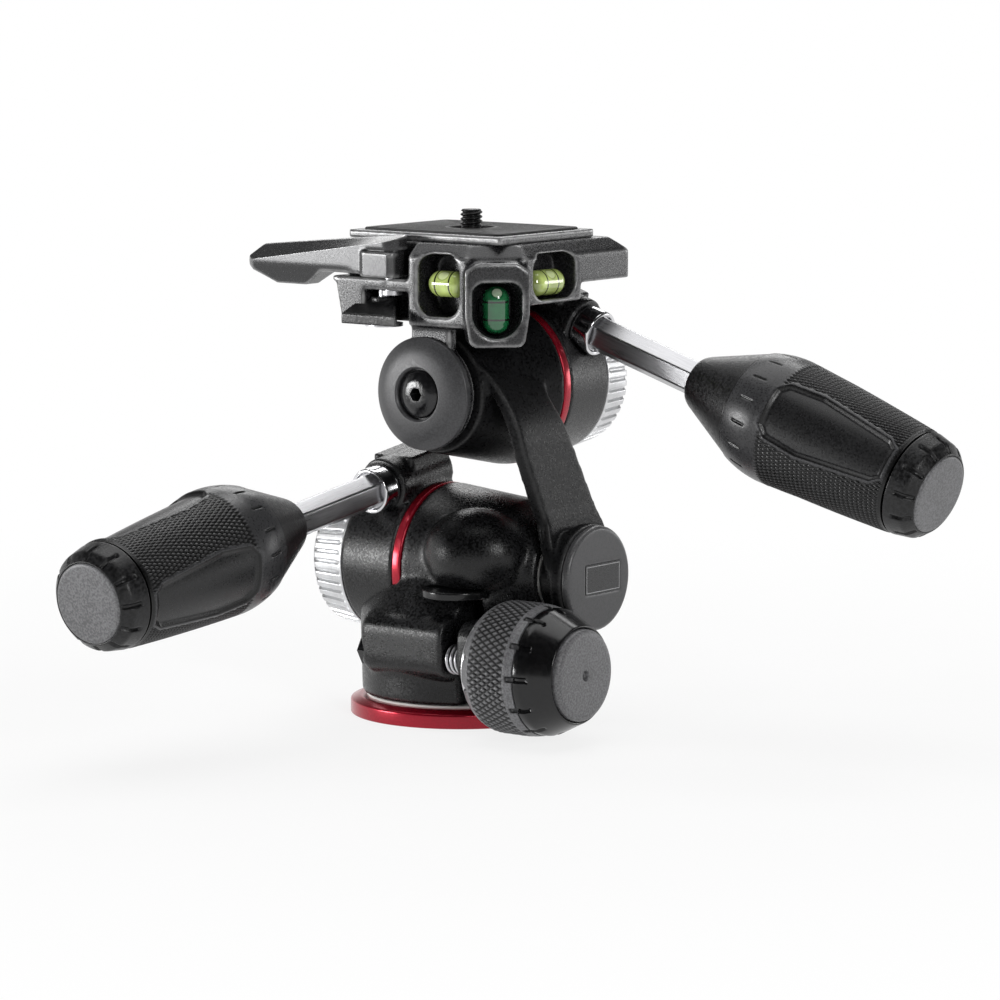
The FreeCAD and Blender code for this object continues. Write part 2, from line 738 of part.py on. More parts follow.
def pan_housing():
    low = "base_height + washer_thick + face_gap"
    bore = "spigot_radius + run_gap"
    top = "spigot_top + free_gap"
    clamp = turned("clamp_blank", [
        (low, bore), (low, "clamp_radius"), ("shoulder_low", "shoulder_radius"),
        ("shoulder_high", "shoulder_top_radius"), ("shoulder_high", "0"), (top, "0"),
        (top, bore)], PAN)
    barrel = turned("tilt_barrel", [
        ("-tilt_ring_start", "0"), ("-tilt_ring_start", "barrel_radius"),
        ("tilt_barrel_waist", "tilt_barrel_waist_radius"),
        ("tilt_barrel_end", "tilt_barrel_end_radius"), ("tilt_barrel_end", "0")], TILT_RIGHT)
    dome = doc.addObject("Part::Ellipsoid", "clamp_dome")
    dome.setExpression("Radius1", bound("dome_rise"))
    dome.setExpression("Radius2", bound("dome_half_length"))
    dome.setExpression("Radius3", bound("dome_radius"))
    dome.Placement = frame("dome_x", "dome_y", "dome_z")

    rear = "-spigot_radius + groove_depth"
    lobe = padded("bolt_lobe", [
        (rear, "lobe_low"), (rear, "shoulder_low"),
        ("-lobe_front + lobe_round", "shoulder_low"),
        ("-lobe_front", "shoulder_low - lobe_round", "lobe_round", 1),
        ("-lobe_front", "lobe_low + lobe_round"),
        ("-lobe_front + lobe_round", "lobe_low", "lobe_round", 1)],
        "lobe_left + ear_face", frame("-lobe_left", "0", "0", FACING_X),
        rounding="lobe_end_round",
        pick=lambda edge: edge.BoundBox.ZMax < 0.01 and edge.BoundBox.XMin < -size("spigot_radius"))
    casting = fused("housing_casting", [clamp, barrel, dome, lobe])

    accent_end = "tilt_ring_start + accent_length"
    tools = [
        bar("spigot_bore", bore, "0", top, PAN),
        block("clamp_slit", ("slit_left", "-through", "0"),
              ("slit_width", "through - slit_back", "cover_low")),
        bar("bolt_bore", "bolt_radius + run_gap", "-through", "through", BOLT),
        padded("bolt_head_pocket", hexagon("nut_flat + press_gap"), "through",
               frame("nut_height - lobe_left - through", "bolt_y", "bolt_z", FACING_X)),
        bar("tilt_bore", "bush_radius + press_gap", "-through", "through", TILT_RIGHT),
        bar("accent_seat", "barrel_radius + press_gap", "tilt_ring_start", accent_end, TILT_LEFT),
        bar("ring_room", "barrel_radius + free_gap", accent_end, "through", TILT_LEFT),
        block("tilt_lug_room", ("-through", "lug_room_y", "lug_room_low"),
              ("through - (%s)" % accent_end, "through", "through")),
        cover_shape("cover_seat", "cover_radius + press_gap", "cover_back - press_gap"),
        turned("retainer_hole", retainer_profile("-free_gap", "press_gap"),
               frame("0", "clamp_radius", "retainer_height", ALONG_MINUS_Y)),
    ]
    node("pan_housing", cut("pan_housing", casting, tools))


def cover_shape(name, radius, back):
    """Return the round cover over the slit's top, flat where it meets the barrel."""
    plate = turned(name + "_disc", disc("cover_low", "cover_low + cover_thick", radius),
                   frame("cover_x", "cover_y", "0", ALONG_Z))
    keep = block(name + "_keep", ("cover_x - 2 * cover_radius", "cover_y - 2 * cover_radius", "0"),
                 ("4 * cover_radius", "2 * cover_radius - cover_y - (%s)" % back, "2 * cover_low"))
    shape = doc.addObject("Part::Common", name)
    shape.Base = plate
    shape.Tool = keep
    return shape


def clamp_parts():
    node("slot_cover", cover_shape("slot_cover", "cover_radius", "cover_back"))
    node("retaining_screw", turned("retaining_screw", retainer_profile("free_gap", "0"),
                                   frame("0", "clamp_radius", "retainer_height", ALONG_MINUS_Y)))
    head = padded("clamp_bolt_head", hexagon("nut_flat"), "nut_height - press_gap",
                  frame("-lobe_left", "bolt_y", "bolt_z", FACING_X))
    shank = bar("clamp_bolt_shank", "bolt_radius", "-lobe_left", "knob_band", BOLT)
    node("clamp_bolt", fused("clamp_bolt", [head, shank]))
    node("clamp_spring", clamp_spring())
    node("knob_washer", turned("knob_washer", tube(
        "ear_face", "ear_face + knob_washer_thick", "bolt_radius + run_gap",
        "knob_washer_radius"), BOLT))


def clamp_spring():
    """Sweep the open spring that pushes the clamp's ears apart."""
    wire = size("spring_wire")
    radius = size("spring_radius")
    coil = Part.makeHelix(size("spring_pitch"), size("slit_width") - 2 * wire, radius)
    section = Part.Wire(Part.makeCircle(wire, Vector(radius, 0, 0), Vector(0, 1, 0)))
    spring = doc.addObject("Part::Feature", "clamp_spring")
    spring.Shape = Part.Wire(coil).makePipeShell([section], True, True)
    spring.Placement = frame("slit_left + spring_wire", "bolt_y", "bolt_z", FACING_X)
    return spring


# ---------------------------------------------------------------- pan knob

def knob_parts():
    start = "ear_face + knob_washer_thick + face_gap"
    bore = "knob_insert_radius + press_gap"
    core = "knob_core_radius + press_gap"
    seat = "knob_cap_face - knob_cap_thick"
    node("pan_knob_hub", turned("pan_knob_hub", [
        (start, bore), (start, "knob_collar_radius"), ("knob_rim", "knob_collar_radius"),
        ("knob_rim", "knob_core_radius"), (seat, "knob_core_radius"), (seat, bore)], BOLT))
    node("pan_knob_insert", turned("pan_knob_insert", tube(
        start, "knob_insert_end", "bolt_radius + run_gap", "knob_insert_radius"), BOLT))
    node("pan_knob_sleeve", turned("pan_knob_sleeve", [
        ("knob_rim", core), ("knob_rim", "knob_rim_radius"),
        ("knob_belly", "knob_radius", "knob_rim_radius", -1),
        ("knob_band - knob_cap_thick", "knob_radius"),
        ("knob_band", "knob_band_radius"), ("knob_band", core)], BOLT))
    lip = "knob_cap_radius + press_gap"
    node("pan_knob_ring", turned("pan_knob_ring", [
        ("knob_band", core), ("knob_band", "knob_band_radius"),
        ("knob_band + knob_cap_thick / 2", "knob_band_radius"),
        ("knob_end", "knob_end_radius"), ("knob_end", lip), (seat, lip), (seat, core)], BOLT))
    edge = "knob_cap_radius - knob_washer_thick / 2"
    dimple = "knob_washer_thick"
    node("pan_knob_cap", turned("pan_knob_cap", [
        (seat, "0"), (seat, "knob_cap_radius"),
        ("knob_cap_face - knob_washer_thick / 2", "knob_cap_radius"), ("knob_cap_face", edge),
        ("knob_cap_face", dimple), ("knob_cap_face - knob_washer_thick", dimple),
        ("knob_cap_face - knob_washer_thick", "0")], BOLT))


# ---------------------------------------------------------------- rings of both barrels

def bushes(label, starts, place):
    """Add a pair of bearing bushes, pressed into a barrel."""
    pair = doc.addObject("Part::Compound", label)
    pair.Links = [turned("%s_%d" % (label, index), tube(
        start, start + " + bush_length", "shaft_radius + run_gap", "bush_radius"), place)
        for index, start in enumerate(starts)]
    node(label, pair)


def ring_parts(stage, barrel, start, handle):
    """Add the accent ring, handle ring, friction ring, end cover and end screw of one barrel.
    Return where the end cover seats on the shaft and where its screw ends."""
    accent_end = start + " + accent_length"
    node(stage + "_accent_ring", turned(stage + "_accent_ring", tube(
        start, accent_end, "accent_bore", "barrel_radius"), barrel))

    shaft = "shaft_radius + press_gap"
    ring_start = accent_end + " + face_gap"
    ring_end = ring_start + " + handle_ring_length"
    blank = turned(stage + "_ring_blank", [
        (ring_start, shaft), (ring_start, "barrel_radius"), (ring_end, "ring_outer_radius"),
        (ring_end, shaft)], barrel)
    boss = bar(stage + "_lug_boss", "lug_radius", "-lug_back", "lug_front", handle)
    fairing = padded(stage + "_lug_fairing", rounded_box(
        "-lug_back", "-lug_half_width", "lug_shoulder", "lug_half_width", "lug_rounding"),
        "lug_depth + lug_top", handle.multiply(frame("0", "0", "-lug_depth")))
    body = fused(stage + "_ring_body", [blank, boss, fairing])
    bore = bar(stage + "_lug_bore", "rod_thread_radius + run_gap", "-rod_back - free_gap",
               "through", handle)
    room = bar(stage + "_collar_room", "collar_radius + free_gap", "lug_front", "through", handle)
    node(stage + "_handle_ring", cut(stage + "_handle_ring", body, [bore, room]))

    grip_start = ring_end + " + face_gap"
    grip_end = grip_start + " + friction_ring_length"
    running = "shaft_radius + run_gap"
    node(stage + "_friction_ring", turned(stage + "_friction_ring", [
        (grip_start, running), (grip_start, "ring_outer_radius"),
        (grip_end, "friction_outer_radius"), (grip_end, running)], barrel))

    cover_start = grip_end + " + face_gap"
    cover_end = cover_start + " + end_cover_thick"
    sink = cover_end + " - end_cover_thick / 2"
    head = "end_screw_head + press_gap"
    hole = "end_screw_radius + press_gap"
    node(stage + "_end_cover", turned(stage + "_end_cover", [
        (cover_start, hole), (cover_start, "end_cover_radius"),
        (cover_end + " - end_cover_bevel", "end_cover_radius"),
        (cover_end, "end_cover_radius - end_cover_bevel"),
        (cover_end, head), (sink, head), (sink, hole)], barrel))
    tip = sink + " - end_screw_length"
    top = cover_end + " + end_cover_bevel"
    node(stage + "_end_screw", turned(stage + "_end_screw", [
        (tip, "0"), (tip, "end_screw_radius"), (sink, "end_screw_radius"), (sink, "end_screw_head"),
        (cover_end, "end_screw_head"), (top, "end_screw_head / 2"), (top, "0")], barrel))
    return cover_start, tip


def shaft_part(stage, barrel, front, shoulder, ends, bolt_tip, bolt_radius):
    """Add a shaft with its neck in the front hub and a threaded hole at each end."""
    end, screw_tip = ends
    screw_hole = "end_screw_radius + press_gap"
    bolt_hole = bolt_radius + " + press_gap"
    node(stage + "_shaft", turned(stage + "_shaft", [
        (front, bolt_hole), (front, "shaft_neck_radius"), (shoulder, "shaft_neck_radius"),
        (shoulder, "shaft_radius"), (end, "shaft_radius"), (end, screw_hole),
        (screw_tip, screw_hole), (screw_tip, "0"), (bolt_tip, "0"), (bolt_tip, bolt_hole)],
        barrel))


# ---------------------------------------------------------------- tilt stage

def arm_band():
    """Return the curved band that joins the arm's hub to the lateral barrel."""
    side = padded("band_side", [
        ("hub_face - arm_thick", "tilt_height", "arm_flare_radius", 1),
        ("hub_face", "tilt_height"),
        ("arm_waist", "arm_waist_low", "arm_flare_radius", -1), ("arm_knee", "arm_knee_height"),
        ("arm_top", "arm_top_height", "arm_bend_radius", 1),
        ("arm_top - arm_thick", "arm_top_height"),
        ("arm_knee - arm_thick", "arm_knee_height", "arm_bend_radius", -1),
        ("arm_waist - arm_thick", "arm_waist_low")],
        "2 * lateral_barrel_front", frame("0", "lateral_barrel_front", "0", FACING_MINUS_Y))
    front = padded("band_front", [
        ("-hub_radius", "tilt_height"), ("hub_radius", "tilt_height"),
        ("hub_radius - arm_taper", "arm_right_low"), ("-arm_right_top_y", "arm_right_top"),
        ("-arm_right_end_y", "arm_top_height"), ("-lateral_barrel_front", "arm_top_height"),
        ("arm_left_knee_y", "arm_knee_height"), ("arm_left_y", "arm_left_low")],
        "through", frame("0", "0", "0", FACING_X))
    band = doc.addObject("Part::Common", "arm_band")
    band.Base = side
    band.Tool = front
    return band


def tilt_arm():
    boss_start = "tilt_barrel_end + face_gap"
    hub = turned("arm_hub", [
        (boss_start, "0"), (boss_start, "hub_boss_radius"),
        ("hub_face - hub_thick", "hub_boss_radius"), ("hub_face - hub_thick", "hub_radius"),
        ("hub_face", "hub_radius"), ("hub_face", "0")], TILT_RIGHT)
    barrel = turned("lateral_barrel", [
        ("-lateral_barrel_front", "0"), ("-lateral_barrel_front", "lateral_barrel_front_radius"),
        ("-lateral_crease", "lateral_crease_radius"), ("lateral_ring_start", "barrel_radius"),
        ("lateral_ring_start", "0")], LATERAL_BACK)
    casting = fused("arm_casting", [hub, arm_band(), barrel])
    room = turned("barrel_room", [
        ("0", "0"), ("0", "barrel_radius + free_gap"),
        ("tilt_barrel_waist", "tilt_barrel_waist_radius + free_gap"),
        ("tilt_barrel_end", "tilt_barrel_end_radius + free_gap"),
        (boss_start, "tilt_barrel_end_radius + free_gap"), (boss_start, "0")], TILT_RIGHT)
    tools = [
        room,
        bar("neck_hole", "shaft_neck_radius + press_gap", "0", "through", TILT_RIGHT),
        bar("bolt_seat", "arm_bolt_head + press_gap", "hub_face - arm_bolt_sink", "through",
            TILT_RIGHT),
        bar("lateral_bore", "bush_radius + press_gap", "-through", "through", LATERAL_BACK),
    ]
    node("tilt_arm", cut("tilt_arm", casting, tools))


def label_box(name, grow, rise):
    """Return the label plate on the end cap, or with grow its seat."""
    face = "end_cap_face - label_depth"
    outline = rounded_box(
        "label_offset - label_width / 2 - " + grow, "tilt_height - label_height / 2 - " + grow,
        "label_offset + label_width / 2 + " + grow, "tilt_height + label_height / 2 + " + grow,
        "label_round")
    return padded(name, outline, rise, frame(face, "0", "0", FACING_X))


def arm_trim():
    seat = "hub_face - arm_bolt_sink"
    tip = seat + " - arm_bolt_length"
    node("arm_bolt", turned("arm_bolt", [
        (tip, "0"), (tip, "arm_bolt_radius"), (seat, "arm_bolt_radius"), (seat, "arm_bolt_head"),
        ("hub_face - press_gap", "arm_bolt_head"), ("hub_face - press_gap", "0")], TILT_RIGHT))
    blank = turned("end_cap_blank", [
        ("hub_face", "0"), ("hub_face", "end_cap_radius"),
        ("end_cap_face - end_cover_bevel", "end_cap_radius"),
        ("end_cap_face", "end_cap_radius - end_cover_bevel"), ("end_cap_face", "0")], TILT_RIGHT)
    node("arm_end_cap", cut("arm_end_cap", blank,
                            [label_box("label_seat", "press_gap", "2 * label_depth")]))
    node("label_plate", label_box("label_plate", "0", "label_depth + press_gap"))


def tilt_parts():
    bushes("tilt_bushes", ["-tilt_ring_start", "tilt_barrel_end - bush_length"], TILT_RIGHT)
    ends = ring_parts("tilt", TILT_LEFT, "tilt_ring_start", TILT_HANDLE)
    seat = "hub_face - arm_bolt_sink"
    shaft_part("tilt", TILT_LEFT, "-(%s)" % seat, "-tilt_barrel_end - face_gap", ends,
               "arm_bolt_length - (%s)" % seat, "arm_bolt_radius")
    tilt_arm()
    arm_trim()


# ---------------------------------------------------------------- lateral stage

def body_plan(inset="0"):
    """Return the quick release body's plan, drawn in all round by inset."""
    corner = "body_corner + (sqrt(2) - 1) * (%s)" % inset
    left = "body_left + " + inset
    right = "body_right - " + inset
    front = "body_front + " + inset
    back = "body_back - " + inset
    return [(left, front), ("body_right - (%s)" % corner, front),
            (right, "body_front + " + corner), (right, back), (left, back)]


def corner_frame(depth):
    """Return the corner's frame, a depth behind the tongue's face."""
    back = frame("tongue_x - (%s) / sqrt(2)" % depth, "tongue_y + (%s) / sqrt(2)" % depth, "0")
    return back.multiply(Placement(Vector(), FACING_CORNER))


def qr_casting():
    """Return the quick release body before its pockets are cut."""
    slab = lofted("qr_slab", [("deck_low", body_plan()), ("body_edge", body_plan()),
                              ("seat", body_plan("body_lean"))], Placement())
    skirt = padded("qr_skirt", [
        ("skirt_left + skirt_taper", "body_low"), ("body_right - body_corner", "body_low"),
        ("body_right - body_corner", "deck_low"), ("skirt_left", "deck_low")],
        "skirt_back - body_front", frame("0", "skirt_back", "0", FACING_MINUS_Y))
    wall = block("qr_side_wall", ("body_right - side_wall_depth", "skirt_back", "side_low"),
                 ("side_wall_depth", "side_wall_back - skirt_back", "deck_low - side_low"))
    ankle = "tongue_foot + tongue_foot_round"
    heel = "tongue_low + tongue_foot_round"
    widest = "body_low + tongue_flare"
    blank = padded("tongue_blank", [
        ("-tongue_foot", "tongue_low", "tongue_foot_round", 1), ("tongue_foot", "tongue_low"),
        (ankle, heel, "tongue_foot_round", 1),
        ("tongue_half_width", widest), ("tongue_half_width", "tongue_shoulder"),
        ("tongue_foot", "tongue_top"), ("-tongue_foot", "tongue_top"),
        ("-tongue_half_width", "tongue_shoulder"), ("-tongue_half_width", widest),
        ("-(%s)" % ankle, heel)], "tongue_depth", corner_frame("tongue_depth"))
    tongue = cut("qr_tongue", blank, [bar("arm_room", "arm_room_radius", "0",
                                          "lateral_barrel_front", LATERAL_FRONT)])
    hub_back = "lateral_barrel_front + free_gap"
    hub = bar("qr_hub", "hub_radius", hub_back, hub_back + " + front_hub_thick", LATERAL_FRONT)
    leg = block("qr_leg", ("lateral_x - leg_width / 2", "-(%s) - front_hub_thick" % hub_back,
                           "lateral_height"),
                ("leg_width", "front_hub_thick", "body_low + leg_root - lateral_height"))
    return fused("qr_casting", [slab, skirt, wall, tongue, hub, leg])


def window_outline(half, low, high):
    """Return the window's outline: a round foot and two rounded shoulders."""
    waist = "%s + %s" % (low, half)
    shoulder = "%s - window_round" % high
    return [("0", low, half, 1), (half, waist, half, 1), (half, shoulder),
            (half + " - window_round", high, "window_round", 1),
            ("window_round - " + half, high), ("-" + half, shoulder, "window_round", 1),
            ("-" + half, waist)]


def qr_body():
    front_pocket = padded("front_pocket", rounded_box(
        "pocket_left", "pocket_low", "pocket_right", "pocket_high", "pocket_round"),
        "pocket_depth + body_lean", frame("0", "body_front + pocket_depth", "0", FACING_MINUS_Y))
    side_pocket = padded("side_pocket", rounded_box(
        "side_pocket_front", "side_pocket_low", "side_pocket_back", "pocket_high",
        "pocket_round"), "through",
        frame("body_right - side_pocket_depth", "0", "0", FACING_X))
    corner_pocket = lofted("corner_pocket", [
        ("0", window_outline("window_back", "window_low + window_draft",
                             "window_high - window_draft")),
        ("window_depth", window_outline("window_half", "window_low", "window_high"))],
        corner_frame("window_depth"))
    socket_gap = "face_gap"
    socket = block("plate_socket", (
        "plate_x - plate_foot_length / 2 - " + socket_gap,
        "plate_y - plate_foot_width / 2 - " + socket_gap,
        "seat - plate_foot - " + socket_gap),
        ("plate_foot_length + 2 * " + socket_gap, "plate_foot_width + 2 * " + socket_gap,
         "through"))
    recess = block("catch_recess", ("recess_left", "-through", "0"),
                   ("recess_right - recess_left", "recess_back + through", "web_low"))
    lever_room = block("lever_room", ("-through", "-through", "lever_floor"),
                       ("recess_right + through", "lever_wall + through", "through"))
    room = "lug_radius + 2 * free_gap"
    lug_room = padded("lug_room", rounded_box(
        "-lug_back - 2 * free_gap", "-(%s)" % room, "lug_room_end", room, "lug_rounding"),
        room, LATERAL_HANDLE)
    tools = [
        front_pocket, side_pocket, corner_pocket, socket, recess, lever_room, lug_room,
        bar("neck_hole", "shaft_neck_radius + press_gap", "0", "through", LATERAL_FRONT),
        bar("lever_pin_hole", "lever_pin_radius + press_gap", "0", "through",
            frame("lever_pivot_x", "lever_pivot_y", "0", ALONG_Z)),
        bar("catch_pin_hole", "catch_pin_radius + press_gap", "0",
            "lever_floor - catch_pin_cover", frame("catch_x", "catch_y", "0", ALONG_Z)),
    ]
    node("qr_body", cut("qr_body", qr_casting(), tools))


def vial(label, length, place):
    """Add a round ended vial, centred on the local X axis."""
    half = "(%s) / 2" % length
    node(label, turned(label, [
        ("-" + half, "0"), ("-%s + vial_radius" % half, "vial_radius", "vial_radius", -1),
        (half + " - vial_radius", "vial_radius"), (half, "0", "vial_radius", -1)], place))


def vials():
    seat = "vial_radius + face_gap"
    vial("front_vial", "front_vial_length",
         frame("front_vial_x", "body_front + pocket_depth - (%s)" % seat, "vial_height"))
    vial("side_vial", "side_vial_length",
         frame("body_right - side_pocket_depth + " + seat, "side_vial_y", "vial_height", ALONG_Y))
    depth = "window_depth - (%s)" % seat
    vial("corner_vial", "corner_vial_length",
         frame("tongue_x - (%s) / sqrt(2)" % depth, "tongue_y + (%s) / sqrt(2)" % depth,
               "corner_vial_height", ALONG_Z))


def front_trim():
    floor = "front_cap_face - front_recess_depth"
    hole = "front_screw_radius + press_gap"
    node("front_cap", turned("front_cap", [
        ("front_seat", hole), ("front_seat", "front_cap_radius"),
        ("front_cap_rim", "front_cap_radius"),
        ("front_cap_face", "front_cap_flat", "front_cap_dome", -1),
        ("front_cap_face", "front_recess_radius"), (floor, "front_recess_radius"), (floor, hole)],
        LATERAL_FRONT))
    tip = floor + " - front_screw_length"
    screw = turned("hex_screw_blank", [
        (tip, "0"), (tip, "front_screw_radius"), (floor, "front_screw_radius"),
        (floor, "hex_head_radius"), ("front_cap_face - free_gap", "hex_head_radius"),
        ("front_cap_face + free_gap", "hex_head_radius / 2"), ("front_cap_face + free_gap", "0")],
        LATERAL_FRONT)
    socket = padded("hex_socket", hexagon("hex_socket_flat"), "through",
                    LATERAL_FRONT.multiply(frame("front_cap_face - hex_socket_depth", "0", "0",
                                                 FACING_X)))
    node("hex_screw", cut("hex_screw", screw, [socket]))
    return tip


def lateral_parts():
    bushes("lateral_bushes", ["-lateral_barrel_front", "lateral_ring_start - bush_length"],
           LATERAL_BACK)
    ends = ring_parts("lateral", LATERAL_BACK, "lateral_ring_start", LATERAL_HANDLE)
    tip = front_trim()
    hub_back = "-lateral_barrel_front - free_gap"
    shaft_part("lateral", LATERAL_BACK, hub_back + " - front_hub_thick", hub_back, ends,
               "-(%s)" % tip, "front_screw_radius")
    qr_body()
    vials()


# ---------------------------------------------------------------- plate, lever and catch

def plate_box(name, length, width, low, thick):
    """Return a slab centred on the plate."""
    return block(name, ("plate_x - (%s) / 2" % length, "plate_y - (%s) / 2" % width, low),
                 (length, width, thick))


def plate_parts():
    foot_low = "seat - plate_foot"
    slab = plate_box("plate_slab_box", "plate_length", "plate_width", "seat", "plate_slab")
    foot = plate_box("plate_foot_box", "plate_foot_length", "plate_foot_width", foot_low,
                     "plate_foot + plate_slab / 2")
    middle = frame("plate_x", "plate_y", "0", ALONG_Z)
    inset_length = "plate_length - 2 * pad_margin"
    inset_width = "plate_width - 2 * pad_margin"
    pad_low = "plate_top - pad_depth"
    room = plate_box("pad_seat", inset_length + " + 2 * press_gap",
                     inset_width + " + 2 * press_gap", pad_low, "plate_slab")
    head_top = foot_low + " + head_sink + camera_head_thick + face_gap"
    tools = [
        room,
        bar("camera_hole", "camera_neck_radius + run_gap", "0", "through", middle),
        bar("head_room", "camera_head_radius + free_gap", "0", head_top, middle),
    ]
    node("qr_plate", cut("qr_plate", fused("plate_blank", [slab, foot]), tools))
    pad = plate_box("plate_pad_blank", inset_length, inset_width, pad_low,
                    "pad_depth + pad_proud")
    node("plate_pad", cut("plate_pad", pad, [bar("pad_hole", "pad_hole_radius", "0",
                                                 "through", middle)]))
    head_low = foot_low + " + head_sink"
    neck_low = head_low + " + camera_head_thick"
    thread_low = "plate_top + pad_proud"
    node("camera_screw", turned("camera_screw", [
        (head_low, "0"), (head_low, "camera_head_radius"), (neck_low, "camera_head_radius"),
        (neck_low, "camera_neck_radius"), (thread_low + " - camera_lead", "camera_neck_radius"),
        (thread_low, "camera_screw_radius"),
        ("camera_screw_tip - camera_lead", "camera_screw_radius"),
        ("camera_screw_tip", "camera_screw_radius - camera_lead"), ("camera_screw_tip", "0")],
        middle))


def lever_paddle():
    """Return the lever's long arm: its side outline within its plan."""
    side = padded("lever_side", [
        ("lever_half_width", "lever_under"), ("lever_half_width", "lever_top"),
        ("-lever_reach + lever_nip", "lever_back_top"), ("-lever_reach", "lever_tip_high"),
        ("-lever_reach", "lever_tip_low"), ("-lever_belly_start", "lever_belly_low"),
        ("-lever_belly_end", "lever_belly_low"), ("-lever_neck", "lever_low + lever_rise"),
        ("-lever_hub", "lever_low + lever_rise"), ("-lever_hub", "lever_under")],
        "2 * lever_front", frame("lever_pivot_x", "lever_pivot_y + lever_front", "0",
                                 FACING_MINUS_Y))
    half = "lever_half_width"
    shoulder = "-lever_reach + lever_nip"
    plan = padded("lever_plan", [
        ("-lever_reach", "-lever_half_width + lever_nose"), (shoulder, "-" + half),
        ("0", "-" + half), (half, "0", half, 1), ("0", half, half, 1), (shoulder, half),
        ("-lever_reach", "lever_half_width - lever_nose")],
        "through", frame("lever_pivot_x", "lever_pivot_y", "0"))
    paddle = doc.addObject("Part::Common", "lever_paddle")
    paddle.Base = side
    paddle.Tool = plan
    return paddle


def lever_parts():
    pivot = frame("lever_pivot_x", "lever_pivot_y", "0", ALONG_Z)
    hub = padded("lever_hub_block", rounded_box(
        "-lever_hub - lever_nip", "-lever_front", "lever_hub_right", "0", "lever_hub_round"),
        "lever_hub_thick", frame("lever_pivot_x", "lever_pivot_y", "lever_low"))
    post = bar("lever_post", "lever_post_radius", "lever_low", "lever_under + lever_rise", pivot)
    lever = fused("lever_blank", [lever_paddle(), hub, post])
    pin_top = "lever_low + lever_pin_grip"
    node("plate_lever", cut("plate_lever", lever, [
        bar("lever_bore", "lever_pin_radius + run_gap", "0", pin_top + " + free_gap", pivot)]))
    head = "web_low - lever_pin_head"
    node("lever_pin", turned("lever_pin", [
        (head, "0"), (head, "lever_head_radius"), ("web_low", "lever_head_radius"),
        ("web_low", "lever_pin_radius"), (pin_top, "lever_pin_radius"), (pin_top, "0")], pivot))


def catch_parts():
    pivot = frame("catch_x", "catch_y", "0", ALONG_Z)
    hub = bar("catch_hub", "catch_hub_radius", "body_low", "catch_root_high", pivot)
    wedge = padded("catch_wedge", [
        ("-catch_reach", "body_low"), ("0", "body_low"), ("0", "catch_root_high"),
        ("-catch_reach", "body_low + catch_thick")],
        "through", frame("-through / 2", "catch_y", "0", FACING_X))
    neck = "body_front - free_gap"
    front = "catch_y - catch_reach"
    plan = padded("catch_plan", [
        ("catch_left", front), ("catch_right", front), ("recess_right - catch_inset", neck),
        ("catch_x + catch_hub_radius", neck), ("catch_x + catch_hub_radius", "catch_y"),
        ("catch_x - catch_hub_radius", "catch_y"), ("catch_x - catch_hub_radius", neck),
        ("catch_left", neck)], "through", Placement())
    tab = doc.addObject("Part::Common", "catch_tab")
    tab.Base = wedge
    tab.Tool = plan
    blank = fused("catch_blank", [hub, tab])
    node("safety_catch", cut("safety_catch", blank, [
        bar("catch_bore", "catch_pin_radius + run_gap", "0", "through", pivot)]))
    shoulder = "body_low - face_gap"
    head = shoulder + " - catch_head_thick"
    top = "lever_floor - catch_pin_cover"
    node("catch_pin", turned("catch_pin", [
        (head, "0"), (head, "catch_head_radius"), (shoulder, "catch_head_radius"),
        (shoulder, "catch_pin_radius"), (top, "catch_pin_radius"), (top, "0")], pivot))


# ---------------------------------------------------------------- handles

def hex_bar(name, flat, start, length, handle):
    """Return a hexagonal bar along a handle."""
    return padded(name, hexagon(flat), length, handle.multiply(frame(start, "0", "0", FACING_X)))


def handle_parts(stage, handle):
    thread = bar(stage + "_rod_thread", "rod_thread_radius", "-rod_back", "collar_end", handle)
    shank = hex_bar(stage + "_rod_shank", "rod_flat", "collar_end", "rod_end - collar_end", handle)
    node(stage + "_rod", fused(stage + "_rod", [thread, shank]))
    node(stage + "_collar", turned(stage + "_collar", [
        ("lug_front + face_gap", "rod_thread_radius + press_gap"),
        ("lug_front + face_gap", "collar_radius - collar_bevel"),
        ("lug_front + face_gap + collar_bevel", "collar_radius"),
        ("collar_end - collar_bevel", "collar_radius"),
        ("collar_end", "collar_radius - collar_bevel"),
        ("collar_end", "rod_thread_radius + press_gap")], handle))

    core = turned(stage + "_core_blank", [
        ("nose_start", "0"), ("nose_start", "nose_radius"), ("nose_end", "nose_end_radius"),
        ("nose_end", "core_radius"), ("grip_ring_end", "core_radius"), ("grip_ring_end", "0")],
        handle)
    bore = hex_bar(stage + "_core_bore", "rod_flat + face_gap", "nose_start - collar_end",
                   "grip_ring_end", handle)
    node(stage + "_grip_core", cut(stage + "_grip_core", core, [bore]))

    inner = "core_radius + press_gap"
    node(stage + "_grip_sleeve", turned(stage + "_grip_sleeve", [
        ("nose_end", inner), ("nose_end", "nose_end_radius"),
        ("belly_start", "belly_radius", "belly_arc", -1),
        ("sleeve_end", "sleeve_end_radius", "sleeve_arc", -1), ("sleeve_end", inner)], handle))
    node(stage + "_grip_ring", turned(stage + "_grip_ring", [
        ("sleeve_end", inner), ("sleeve_end", "sleeve_end_radius"),
        ("grip_ring_end", "grip_ring_radius"), ("grip_ring_end", inner)], handle))
    node(stage + "_grip_cap", turned(stage + "_grip_cap", [
        ("grip_ring_end", "0"), ("grip_ring_end", "grip_ring_radius - press_gap"),
        ("grip_face", "grip_face_radius"), ("grip_face", "0")], handle))


# ---------------------------------------------------------------- build

base_parts()
pan_housing()
clamp_parts()
knob_parts()
tilt_parts()
lateral_parts()
plate_parts()
lever_parts()
catch_parts()
handle_parts("tilt", TILT_HANDLE)
handle_parts("lateral", LATERAL_HANDLE)

doc.recompute()
for item in doc.Objects:
    if "Invalid" in item.State or "Error" in item.State:
        raise RuntimeError("%s did not recompute: %s" % (item.Name, item.State))

